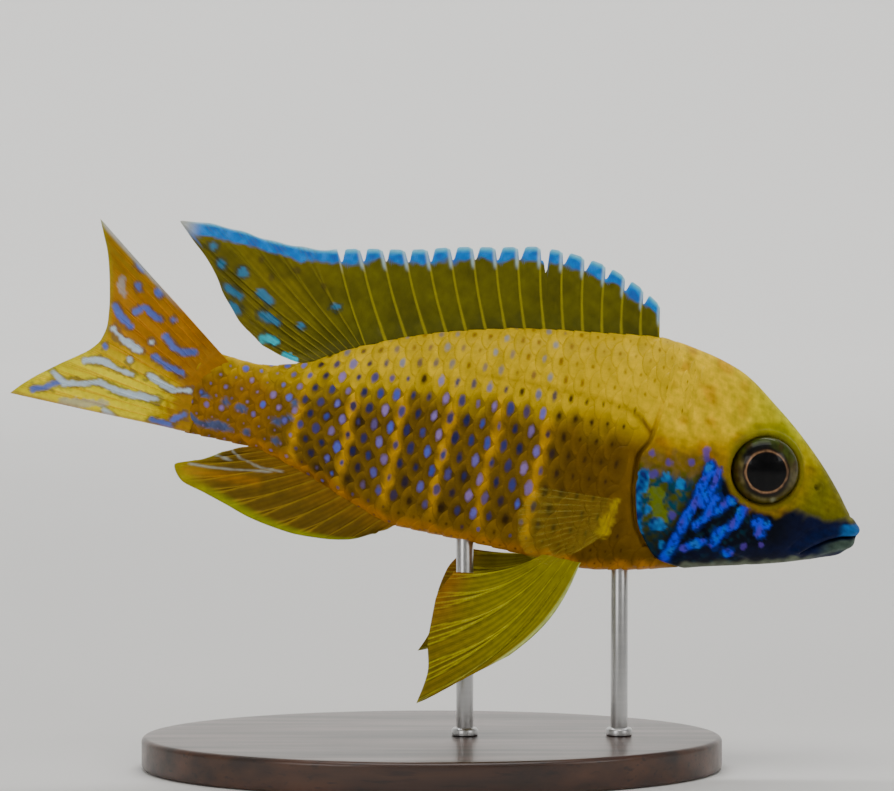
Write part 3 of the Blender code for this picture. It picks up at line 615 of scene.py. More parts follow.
    def shade(self, u: Array, w: Array) -> Array:
        """Strength of the dark middle of each scale: full on the flank between the bars, faint elsewhere."""
        flank = ramp(u, 43.0, 48.0) * (1.0 - 0.7 * ramp(u, 82.0, 92.0))
        height = ramp(w, -12.5, -8.5) * (1.0 - 0.75 * ramp(w, 6.5, 10.5))
        return (0.42 + 0.43 * flank) * height * (1.0 - 0.8 * self.bar(u, w))

    def colour(self, form: FishForm, u: Array, w: Array, behind: Array) -> Array:
        """Skin colour at each point of the side view.

        Args:
            form: the fish's form, which gives the top and bottom lines.
            u: distance behind the snout.
            w: height over the axis.
            behind: distance behind the gill cover's edge.

        Returns:
            Linear colours.
        """
        uneven = wobble(u, w, 7.0, 3)
        fine = wobble(u, w, 2.2, 4)
        below_top = form.top(u) - w
        above_bottom = w - form.bottom(u)
        base = blend(self.shoulder, self.flank, ramp(u, 43.0, 49.0))
        base = blend(base, self.stalk, ramp(u, 86.0, 93.0))
        base = blend(base, self.light_bar, self.bar(u, w))
        # Yellow back above a wavy level: partly its own yellow, partly painted light falling from above.
        level = self.back_and_top_light_level(u) + 1.2 * uneven
        base = blend(base, self.back, ramp(w - level, -3.6, 3.2))
        base = blend(base, self.ridge, 0.7 * ramp(1.9 - below_top, -1.0, 1.2) * ramp(-u, -30.0, -18.0))
        edge = ramp(1.5 + 0.4 * fine - above_bottom, -0.8, 0.8) * ramp(u, 25.0, 30.0) * ramp(-u, -99.0, -94.0)
        base = blend(base, self.belly, 0.85 * edge)
        line = bell(path_distance(u, w, self.lateral), 0.4)
        base = blend(base, tint(110, 74, 0), line * (0.4 + 0.5 * ramp(-u, -38.0, -35.0)))
        base = base * (1.0 + 0.10 * fine + 0.06 * uneven)[..., None]
        base = blend(base, self.stalk_blue, 0.85 * stroke(u, w, self.stalk_strokes, 0.55, 21))
        # Painted highlight: a bright yellow patch on the pad at the pectoral fin's base, wider lower down.
        pad_highlight_edge = 0.25 + 0.4 * ramp(-w, 4.0, 7.0) + 0.3 * wobble(u, w, 1.2, 23)
        from_pad = path_distance(u, w, self.relief.pad_line)
        base = blend(base, self.pad, 0.8 * ramp(pad_highlight_edge - from_pad, -0.5, 0.3))
        head = self.head_colour(u, w, above_bottom, uneven, fine)
        return np.clip(blend(base, head, ramp(-behind, 0.0, 0.15)), 0.0, 1.0)

    def head_colour(self, u: Array, w: Array, above_bottom: Array, uneven: Array, fine: Array) -> Array:
        """Head colour: yellow above, partly its own and partly painted top light; ochre cheek, navy jaw, grey
        throat, blue strokes over them, and painted shade round the eye and in the mouth's groove.

        Args:
            u: distance behind the snout.
            w: height in the side view.
            above_bottom: height over the belly's line.
            uneven: coarse uneven field.
            fine: fine uneven field.

        Returns:
            Linear colours.
        """
        # Yellow top of the head above a wavy level: partly its own yellow, partly painted top light.
        level = self.back_and_top_light_level(u) + 0.8 * uneven
        mottle = wobble(u, w, 1.5, 6)
        head = self.cheek
        snout = ramp(-u, -13.0, -9.0) * ramp(w - self.plate_top(u), 0.0, 1.2)
        head = blend(head, 0.75 * tint(*self.back), 0.75 * snout)
        head = blend(head, self.back, ramp(w - level, -2.2, 2.2))
        head = blend(head, self.ochre, 0.55 * ramp(wobble(u, w, 3.2, 9), 0.1, 1.1))
        head = blend(head, self.ridge, 0.75 * ramp(-u, -26.0, -12.0) * ramp(w - level, -1.0, 5.0))
        head = blend(head, self.snout, 0.85 * ramp(-u - 0.35 * w, -15.5, -8.0))
        plate = ramp(self.plate_top(u) - w + 0.5 * fine, -0.6, 1.0)
        cover = ramp(u + 0.3 * w, 25.4, 27.6)
        ground = blend(self.navy, self.teal, 0.55 * ramp(mottle, -0.1, 1.0) * ramp(u, 14.0, 19.0))
        ground = blend(ground, self.jaw, 0.8 * ramp(-u, -13.0, -7.0) + 0.5 * bell(above_bottom - 2.4, 1.2))
        lid = blend(self.cover, self.teal, ramp(mottle, -0.5, 0.5))
        lid = blend(lid, self.navy, 0.7 * ramp(-w + 0.8 * fine, 4.0, 7.5))
        lid = blend(lid, 0.7 * tint(*self.cheek), 0.8 * ramp(w + 0.8 * mottle, 1.6, 4.0))
        head = blend(head, blend(ground, lid, cover), plate)
        pale = ramp(0.9 + 0.3 * fine - above_bottom, -0.4, 0.5) * ramp(u, 4.0, 8.0)
        head = blend(head, self.throat, 0.85 * pale)
        lips = self.relief
        upper = ramp(0.95 - path_distance(u, w, lips.upper_lip), -0.25, 0.25)
        lip = blend(self.lip_navy, self.lip_blue, ramp(-u, -3.4, -1.2))
        head = blend(head, lip, 0.92 * upper)
        lower_lip = ramp(0.9 - path_distance(u, w, lips.lower_lip), -0.35, 0.35) * ramp(-u, -6.2, -2.6)
        head = blend(head, self.lip_grey, lower_lip * ramp(path_distance(u, w, lips.mouth) - 0.1, 0.0, 0.3))
        head = head * (1.0 + 0.16 * fine + 0.14 * wobble(u, w, 0.9, 7))[..., None]
        head = blend(head, self.green, 0.8 * stroke(u, w, self.green_strokes, 1.15, 31))
        cyan = stroke(u, w, self.cyan_strokes, 0.75, 32)
        head = blend(head, blend(self.cyan, self.deep_blue, 0.5 + 0.6 * mottle), 0.9 * cyan)
        head = blend(head, self.lilac, 0.7 * stroke(u, w, self.lilac_strokes, 0.55, 33))
        head = blend(head, self.deep_blue, 0.8 * stroke(u, w, self.blue_strokes, 0.86, 34))
        uneven_core = 0.3 + 0.7 * ramp(wobble(u, w, 1.0, 36), -0.7, -0.3)
        core = stroke(u, w, self.blue_strokes, 0.6, 35) * uneven_core
        hue = blend(self.blue, self.cyan, 0.7 * ramp(fine, 0.2, 1.2))
        head = blend(head, blend(hue, self.lilac, 0.75 * ramp(-fine, 0.0, 1.0)), 0.95 * core)
        from_eye = np.hypot(u - lips.eye[0], w - lips.eye[1]) - lips.eye_radius
        orbit = bell(from_eye - 0.5, 0.42)
        head = blend(head, tint(96, 98, 6), 0.6 * orbit)
        # Painted shade: a darker green band above the eye.
        over_eye = np.hypot(u - lips.eye[0], w - lips.eye[1] - 0.9) - lips.eye_radius
        shade_over_eye = bell(over_eye - 0.3, 0.9) * ramp(w, 5.0, 9.0)
        head = blend(head, tint(78, 88, 8), 0.6 * shade_over_eye)
        # Painted shade: a dark olive ring on the socket's wall round the eye.
        socket_shade_mask = bell(from_eye + 0.1, 0.3)
        head = blend(head, self.socket_shade, 0.8 * socket_shade_mask)
        # Painted shade: a near-black line along the mouth's groove, fading towards its corner.
        slit = bell(path_distance(u, w, lips.mouth), 0.2)
        return blend(head, tint(8, 10, 18), slit * (1.0 - 0.85 * ramp(u, 4.6, 7.4)))

    def spot(self, u: Array, w: Array, draw: np.random.Generator) -> tuple[Array, Array]:
        """Colour and radius of the fleck at the middle of each scale.

        Args:
            u: distance of the scale's middle behind the snout.
            w: height of the scale's middle over the axis.
            draw: seeded source of the small differences between scales.

        Returns:
            Linear colours, and radii as a share of the scale's half height.
        """
        phase = (u - self.first_bar - 1.5) / self.bar_step
        near_bar = np.abs(phase - np.round(phase)) * self.bar_step
        bright = bell(near_bar, 1.35) * ramp(u, 46.0, 48.0)
        bright = np.maximum(bright * ramp(w, -12.0, -7.0), ramp(u, 84.0, 90.0) * 0.95)
        bright = np.clip(bright + 0.2 * draw.standard_normal(np.shape(u)) * ramp(u, 46.0, 50.0), 0.0, 1.0)
        dark = blend(tint(52, 34, 12), tint(34, 38, 92),
                     ramp(u, 47.0, 52.0) * ramp(w, -9.0, -3.0) * (1.0 - ramp(w, 6.0, 9.0)))
        dark = blend(dark, tint(150, 108, 0), ramp(w, 10.0, 13.5))
        choice = np.clip(0.5 + 0.6 * draw.standard_normal(np.shape(u)), 0.0, 1.0)
        light = blend(tint(84, 104, 224), tint(156, 128, 200), choice)
        light = blend(light, tint(150, 150, 150), ramp(w, 8.0, 12.0))
        colour = blend(dark, light, bright)
        loose = ramp(u, 84.0, 90.0)
        size = 0.2 + 0.04 * draw.standard_normal(np.shape(u)) + 0.05 * bright
        size = size - loose * (0.04 + 0.1 * draw.random(np.shape(u)))
        size = size * np.where(draw.random(np.shape(u)) < 0.45 * loose, 0.3, 1.0)
        size = size * (1.0 - 0.5 * (1.0 - ramp(u, 42.0, 48.0)) * (1.0 - bright))
        near_belly = ramp(FishForm.bottom(u) + 3.4 - w, -1.2, 1.2)
        size = size * (1.0 - 0.25 * ramp(w, 9.0, 14.0)) * (1.0 - 0.6 * ramp(near_belly, 0.0, 1.0))
        return colour, np.clip(size, 0.0, self.largest_fleck)


@dataclass
class FishSkin:
    """One skin over head, trunk and tail stalk, closed at the snout and inside the tail fin's root."""

    form: FishForm
    marks: Markings
    relief: HeadRelief = field(default_factory=HeadRelief)
    head_rows: int = 192
    body_rows: int = 76
    side_columns: int = 150
    head_depth: float = 0.03
    coat_depth: float = 0.13
    tail_end: Place = (103.2, 0.0, 0.6)
    edge_steps: tuple[float, ...] = (-0.9, -0.62, -0.42, -0.27, -0.15, -0.06, 0.0, 0.06, 0.13, 0.21, 0.3,
                                     0.42, 0.58, 0.8, 1.1, 1.5)

    def rows(self, shares: Array) -> Array:
        """Distance of every row of points at each share: even shares of head and body, close at the gill.

        Args:
            shares: share from belly (-1) to back (1) of each column.

        Returns:
            One row of distances behind the snout for each ring.
        """
        edge = self.form.gill_edge(shares)
        end = self.form.tail_edge(shares)
        nose = self.form.nose[0]
        first, last = self.edge_steps[0], self.edge_steps[-1]
        head = np.linspace(0.018, 1.0, self.head_rows)[:, None] ** 1.25
        front = nose + (edge + first - nose) * head
        middle = edge + np.array(self.edge_steps[1:-1])[:, None]
        body = np.linspace(0.0, 1.0, self.body_rows)[:, None] ** 1.3
        back = edge + last + (end + 0.3 - edge - last) * body
        return np.concatenate((front, middle, back))

    def build(self, material: bpy.types.Material) -> bpy.types.Object:
        """Skin the fish: bare form less the coat's depth, plus the head's relief along the normals.

        Args:
            material: finish of the skin.

        Returns:
            The finished piece.
        """
        half = np.linspace(-1.0, 1.0, self.side_columns + 1)
        shares = np.concatenate((half, half[-2:0:-1]))
        side = np.where(np.arange(len(shares)) <= self.side_columns, 1.0, -1.0)
        u = self.rows(shares)
        share = np.broadcast_to(shares, u.shape)
        signs = np.broadcast_to(side, u.shape)
        points = self.form.surface(u, share, signs)
        behind = u - self.form.gill_edge(shares)
        depth = self.head_depth + (self.coat_depth - self.head_depth) * ramp(behind, 0.0, 1.5)
        height = self.relief.height(u, points[..., 2], behind) - depth
        points = points + self.form.normal(u, share, signs) * height[..., None]
        colours = self.marks.colour(self.form, u, points[..., 2], behind)
        rows, columns = u.shape
        ends = np.array(((self.form.nose[0] - 0.05, 0.0, self.form.nose[1]), self.tail_end))
        quads = grid_faces(rows, columns, closed=True)[:, ::-1]
        everything = np.concatenate((points.reshape(-1, 3), ends))
        mesh = make_mesh("fish_skin", self.form.place(everything), quads, end_fans(rows, columns))
        ends = np.stack((colours[0].mean(0), colours[-1].mean(0)))
        set_colours(mesh, "tint", np.concatenate((colours.reshape(-1, 3), ends)))
        set_map(mesh, BAKE_MAP, self.unwrap(rows, columns))
        piece = add_piece("fish_skin", mesh, material, "scaled_skin")
        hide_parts("head", "trunk", "tail")
        return piece

    def unwrap(self, rows: int, columns: int) -> Array:
        """Map of the skin: rows along one way and columns along the other, cut at the belly.

        Args:
            rows: number of rings.
            columns: points in a ring.

        Returns:
            One place for each face corner.
        """
        row, column = np.meshgrid(np.arange(rows - 1), np.arange(columns), indexing="ij")
        length = 0.01 + 0.98 * np.stack((row + 1, row + 1, row, row), -1) / (rows - 1)
        girth = np.stack((column, column + 1, column + 1, column), -1) / columns
        front = np.arange(columns)[:, None] + np.array((0.5, 1.0, 0.0))
        back = np.arange(columns)[:, None] + np.array((0.5, 0.0, 1.0))
        front_length = np.array((0.0, 0.01, 0.01)) + 0.0 * front
        back_length = np.array((1.0, 0.99, 0.99)) + 0.0 * back
        along_body = np.concatenate((length.ravel(), front_length.ravel(), back_length.ravel()))
        round_body = np.concatenate((girth.ravel(), front.ravel() / columns, back.ravel() / columns))
        return 0.005 + 0.99 * np.stack((along_body, round_body), 1)


@dataclass
class ScaleCoat:
    """Overlapping scales in staggered rows over the body, each a curved plate with its root in the skin."""

    form: FishForm
    marks: Markings
    step: float = 2.44
    lateral: Curve = Curve(((20.0, 3.0), (34.0, 2.6), (60.0, 1.8), (80.0, 1.0), (105.0, 0.4)))
    row_gap: Curve = Curve(((18.0, 1.9), (30.0, 2.4), (38.0, 2.85), (62.0, 2.8), (80.0, 2.15), (92.0, 1.72),
                            (105.0, 1.6)))
    nape_start: float = 20.0
    nape_level: float = 10.5
    fineness: int = 9
    sunk: float = 0.16
    edge_lift: float = 0.13

    def length(self, u: Array) -> Array:
        """Length of a scale at each distance: shorter on the nape."""
        return self.step * np.clip(0.62 + 0.38 * (u - 24.0) / 16.0, 0.62, 1.0)

    def lattice(self, draw: np.random.Generator) -> tuple[Array, Array, Array]:
        """Middles of the scales: rows at even girth from a line on the flank, every second one shifted.

        Args:
            draw: seeded source of the small differences between scales.

        Returns:
            Distances, shares and lengths of the scales.
        """
        row = np.arange(-16, 17)[:, None]
        at = np.arange(self.nape_start, 105.0, 0.05)
        travel = np.cumsum(0.05 / self.length(at))
        count = np.arange(0, int(travel[-1]))[None, :]
        u = np.interp(count + 0.5 * (row % 2), travel, at)
        u = u + 0.03 * draw.standard_normal(u.shape)
        level = self.lateral(u)
        share = self.level_share(u, level) + 2.0 * row * self.row_gap(u) / self.form.girth(u)
        length = self.length(u)
        w = self.form.surface(u, share, 1.0)[..., 2]
        edge = self.form.gill_edge(np.clip(share, -1.0, 1.0))
        body = (u - 1.1 * length > edge + 0.45) & (u < self.form.tail_edge(np.clip(share, -1.0, 1.0)) - 0.2)
        nape = (u + 0.62 * length < edge + 1.0) & (w > self.nape_level + 0.35 * np.maximum(0.0, 30.0 - u))
        bridge = (w > 13.5) & (u > self.nape_start) & (u < 60.0)
        keep = (np.abs(share) < 0.985) & (body | nape | bridge)
        return u[keep], share[keep], length[keep]

    def level_share(self, u: Array, w: Array) -> Array:
        """Share at which the flank stands at a height, by six steps that each close most of the miss."""
        share = np.full(np.shape(u), 0.1)
        for _ in range(6):
            miss = w - self.form.surface(u, share, 1.0)[..., 2]
            share = np.clip(share + 2.0 * miss / self.form.girth(u), -0.95, 0.95)
        return share

    def plate(self) -> tuple[Array, Array, Array, Array]:
        """One scale as a disc: a square grid pressed round, with a skirt and a closing point below.

        Returns:
            Places across the disc, heights as shares, quads and triangles.
        """
        line = np.linspace(-1.0, 1.0, self.fineness)
        a, b = np.meshgrid(line, line, indexing="ij")
        x = a * np.sqrt(1.0 - b * b / 2.0)
        y = b * np.sqrt(1.0 - a * a / 2.0)
        n = self.fineness
        rim = grid_rim(n, n)
        places = np.stack((x.ravel(), y.ravel()), 1)
        places = np.concatenate((places, places[rim], [(0.0, 0.0)]))
        top = np.ones(n * n)
        drop = np.concatenate((top, np.zeros(len(rim) + 1)))
        under = n * n + np.arange(len(rim))
        quads = grid_faces(n, n, closed=False)
        skirt = np.stack((rim, under, np.roll(under, -1), np.roll(rim, -1)), 1)
        fan = np.stack((np.full(len(rim), n * n + len(rim)), np.roll(under, -1), under), 1)
        return places, drop, np.concatenate((quads, skirt)), fan

    def build(self, side: Side, material: bpy.types.Material) -> bpy.types.Object:
        """Lay the scales of one side: each disc follows the form, rising from its root to its free edge.

        Args:
            side: side of the fish.
            material: finish of the scales.

        Returns:
            The finished piece.
        """
        draw = np.random.default_rng(SEED + int(side.value))
        u0, share0, length = self.lattice(draw)
        places, top, quads, fan = self.plate()
        half_height = self.row_gap(u0) * 1.02 * (1.0 + 0.03 * draw.standard_normal(len(u0)))
        turn = 0.03 * draw.standard_normal(len(u0))
        x = places[None, :, 0] * np.cos(turn)[:, None] - places[None, :, 1] * np.sin(turn)[:, None]
        y = places[None, :, 0] * np.sin(turn)[:, None] + places[None, :, 1] * np.cos(turn)[:, None]
        u = u0[:, None] + (0.86 * x - 0.24) * length[:, None]
        share = share0[:, None] + 2.0 * y * half_height[:, None] / self.form.girth(u0)[:, None]
        over = np.abs(share) > 1.0
        share = np.where(over, np.sign(share) * (2.0 - np.abs(share)), share)
        signs = np.where(over, -side.value, side.value)
        ground = self.form.surface(u, share, signs)
        crown = 0.05 * (1.0 - places[:, 1] ** 2) * (1.0 - places[:, 0] ** 2)
        lift = -0.05 + (self.edge_lift + 0.05) * ramp(places[:, 0], -0.75, 0.95) + crown
        lift = lift * (0.85 + 0.3 * draw.random(len(u0)))[:, None]
        small = np.clip(length / self.step, 0.6, 1.0)[:, None]
        height = np.where(top > 0, lift * small - 0.13, -self.sunk - 0.22)
        points = ground + self.form.normal(u, share, signs) * height[..., None]
        colours = self.marks.colour(self.form, u, ground[..., 2], np.full(u.shape, 5.0))
        middle = self.form.surface(u0, share0, 1.0)[..., 2]
        strength = self.marks.shade(u0, middle) * (1.0 + 0.15 * draw.standard_normal(len(u0)))
        halo = strength[:, None] * bell(np.hypot(places[:, 0] - 0.3, 0.85 * places[:, 1]), 0.56)[None, :]
        colours = blend(colours, self.marks.halo, halo)
        # Painted shade: each scale darker towards its root, under the free edge of the scale in front, and a
        # little darker at its own free edge.
        shade = 1.0 - 0.16 * (1.0 - ramp(places[:, 0], -0.9, 0.1)) - 0.08 * ramp(places[:, 0], 0.8, 1.0)
        colours = colours * shade[None, :, None] * (1.0 + 0.05 * draw.standard_normal(len(u0)))[:, None, None]
        spot, radius = self.marks.spot(u0, middle, draw)
        count, each = u.shape
        offset = (np.arange(count) * each)[:, None, None]
        all_quads = (quads[None] + offset).reshape(-1, 4)
        all_fans = (fan[None] + offset).reshape(-1, 3)
        if side is Side.LEFT:
            all_quads, all_fans = all_quads[:, ::-1], all_fans[:, ::-1]
        name = f"scales_{side.word}"
        mesh = make_mesh(name, self.form.place(points.reshape(-1, 3)), all_quads, all_fans)
        set_colours(mesh, "tint", np.clip(colours, 0.0, 1.0).reshape(-1, 3))
        set_colours(mesh, "spot", np.repeat(spot, each, axis=0))
        set_values(mesh, "spot_size", np.repeat(radius, each))
        local = np.broadcast_to(places, (count, each, 2)).reshape(-1, 2)
        set_map(mesh, "plate", local[corner_vertices(mesh)])
        root = np.stack((0.04 + 0.92 * u0 / 106.0, 0.5 + 0.46 * share0), 1)
        patch = root[:, None] + 0.0015 * places[None]
        set_map(mesh, BAKE_MAP, patch.reshape(-1, 2)[corner_vertices(mesh)])
        return add_piece(name, mesh, material, "scaled_skin")


@dataclass
class FinSheet:
    """A fin as one closed plate: rays from a root line to a margin, each a ridge on both faces."""

    name: str
    node: str
    roots: Array
    tips: Array
    spines: int
    columns_per_ray: int = 18
    rows: int = 60
    bow: float = 0.0
    root_half: float = 0.55
    membrane_half: float = 0.1
    ray_half: float = 0.3
    root_sink: float = 1.4
    split_start: float = 0.4

    def columns(self) -> Array:
        """Column places counted in rays, closer together next to each ray."""
        rays = len(self.roots)
        share = np.linspace(0.0, 1.0, self.columns_per_ray, endpoint=False)
        eased = share - 0.11 * np.sin(2.0 * math.pi * share)
        where = (np.arange(rays - 1)[:, None] + eased).ravel()
        return np.concatenate((where, [rays - 1.0]))

    def spread(self, points: Array, where: Array) -> Array:
        """Points between those of the rays, on smooth curves through them."""
        index = np.arange(len(points), dtype=float)
        return np.stack([Curve(tuple(zip(index, axis)))(where) for axis in points.T], 1)

    def ridge(self, where: Array, t: Array) -> Array:
        """Height share of the rays: a spine stays whole, a soft ray splits in two and again in four.

        Args:
            where: number of the ray at each column.
            t: share of the way from root to margin.

        Returns:
            Shares of 0 to 1.
        """
        nearest = np.round(where)
        away = (where - nearest)[None, :]
        soft = (nearest >= self.spines)[None, :]
        first = np.where(soft, 0.17 * ramp(t, self.split_start, 1.05), 0.0)
        second = np.where(soft, 0.085 * ramp(t, self.split_start + 0.28, 1.05), 0.0)
        width = 0.085 * (1.0 - 0.55 * t) * np.where(soft, 1.0 - 0.25 * ramp(t, self.split_start, 1.0), 0.9)
        best = np.zeros(np.broadcast(away, t).shape)
        for sign in (-1.0, 1.0):
            for twin in (-1.0, 1.0):
                best = np.maximum(best, bell(away - sign * first - twin * second, width))
        return best

    def build(self, form: FishForm, material: bpy.types.Material, slot: str, paint: Painter,
              shape: Shaper | None = None, reach: Reacher | None = None) -> bpy.types.Object:
        """Make the plate.

        Args:
            form: the fish's form, which places the points.
            material: finish of the fin.
            slot: material slot of the record.
            paint: function of (middle points, t, column places, ridge) that gives colours.
            shape: function that moves the middle surface.
            reach: function of column places and lengths that gives the share of each column's length.

        Returns:
            The fin.
        """
        where = self.columns()
        root = self.spread(self.roots, where)
        tip = self.spread(self.tips, where)
        chord = tip - root
        length = np.linalg.norm(chord, axis=1)
        full = np.ones(len(where)) if reach is None else reach(where, length)
        share = np.linspace(0.0, 1.0, self.rows + 1)[:, None]
        start = -self.root_sink / length
        t = start + (full - start) * share
        middle = root + chord * t[..., None]
        back = np.cross(chord, np.cross(chord, (1.0, 0.0, 0.0)))
        back /= np.linalg.norm(back, axis=1, keepdims=True) + TINY
        curve = self.bow * np.sin(math.pi * np.clip(t, 0.0, 1.0)) * length
        middle = middle - back * curve[..., None]
        if shape is not None:
            middle = shape(middle, np.clip(t, 0.0, 1.0), where)
        normal = np.cross(np.gradient(middle, axis=0), np.gradient(middle, axis=1))
        normal /= np.linalg.norm(normal, axis=-1, keepdims=True) + TINY
        inside = np.clip(t, 0.0, 1.0)
        ridge = self.ridge(where, inside)
        thicker = self.root_half - self.membrane_half
        half = self.membrane_half + thicker * (1.0 - ramp(t * length, -0.5, 2.6))
        rise = ramp(t * length, 0.0, 3.0) * ramp(1.02 - share, 0.0, 0.05)
        half = half + self.ray_half * ridge * (1.0 - 0.75 * inside) * rise
        half = half * (0.35 + 0.65 * ramp(1.0 - share, 0.0, 0.03))
        offset = normal * half[..., None]
        rows, columns = half.shape
        points = np.concatenate(((middle + offset).reshape(-1, 3), (middle - offset).reshape(-1, 3)))
        quads, maps = self.faces(rows, columns)
        mesh = make_mesh(self.name, form.place(points), quads)
        colours = np.clip(paint(middle, inside, where, ridge), 0.0, 1.0).reshape(-1, 3)
        set_colours(mesh, "tint", np.concatenate((colours, colours)))
        set_values(mesh, "ray", np.tile(ridge.ravel(), 2))
        set_values(mesh, "depth", np.tile(inside.ravel() * 1.0, 2))
        grid = np.stack(np.broadcast_arrays(where[None, :], inside), -1).reshape(-1, 2)
        set_map(mesh, "fan", np.concatenate((grid, grid))[corner_vertices(mesh)])
        set_map(mesh, BAKE_MAP, maps)
        self.turn_outward(mesh)
        piece = add_piece(self.name, mesh, material, slot)
        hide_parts(self.node)
        return piece

    def faces(self, rows: int, columns: int) -> tuple[Array, Array]:
        """Quads of both faces and the rim, and their bake map with the two faces side by side.

        Args:
            rows: points from root to margin.
            columns: points across the rays.

        Returns:
            Quads, and one place for each of their corners.
        """
        front = grid_faces(rows, columns, closed=False)
        side = rows * columns
        back = front[:, ::-1] + side
        loop = grid_rim(rows, columns)
        after = np.roll(loop, -1)
        rim = np.stack((loop, loop + side, after + side, after), 1)
        quads = np.concatenate((front, back, rim))
        vertex = quads.ravel()
        row = (vertex % side) // columns
        column = (vertex % side) % columns
        u = column / (columns - 1) * 0.47 + np.where(vertex >= side, 0.51, 0.01)
        v = 0.01 + 0.98 * row / (rows - 1)
        on_rim = np.arange(len(vertex)) >= 4 * (len(front) + len(back))
        u = np.where(on_rim, column / (columns - 1) * 0.47 + 0.01, u)
        return quads, np.stack((u, v), 1)

    def turn_outward(self, mesh: bpy.types.Mesh) -> None:
        """Flip the faces if the closed plate's signed volume is negative."""
        quad = vertex_places(mesh)[corner_vertices(mesh).reshape(-1, 4)].astype(float)
        centre = quad.reshape(-1, 3).mean(0)
        a, b, c, d = np.moveaxis(quad - centre, 1, 0)
        volume = np.sum(np.cross(b - a, c - a) * a) + np.sum(np.cross(c - a, d - a) * a)
        if volume < 0:
            mesh.flip_normals()


def upright(points: Array) -> Array:
    """Points (u, w) of the middle plane as points (u, y, w)."""
    return np.stack((points[:, 0], np.zeros(len(points)), points[:, 1]), 1)


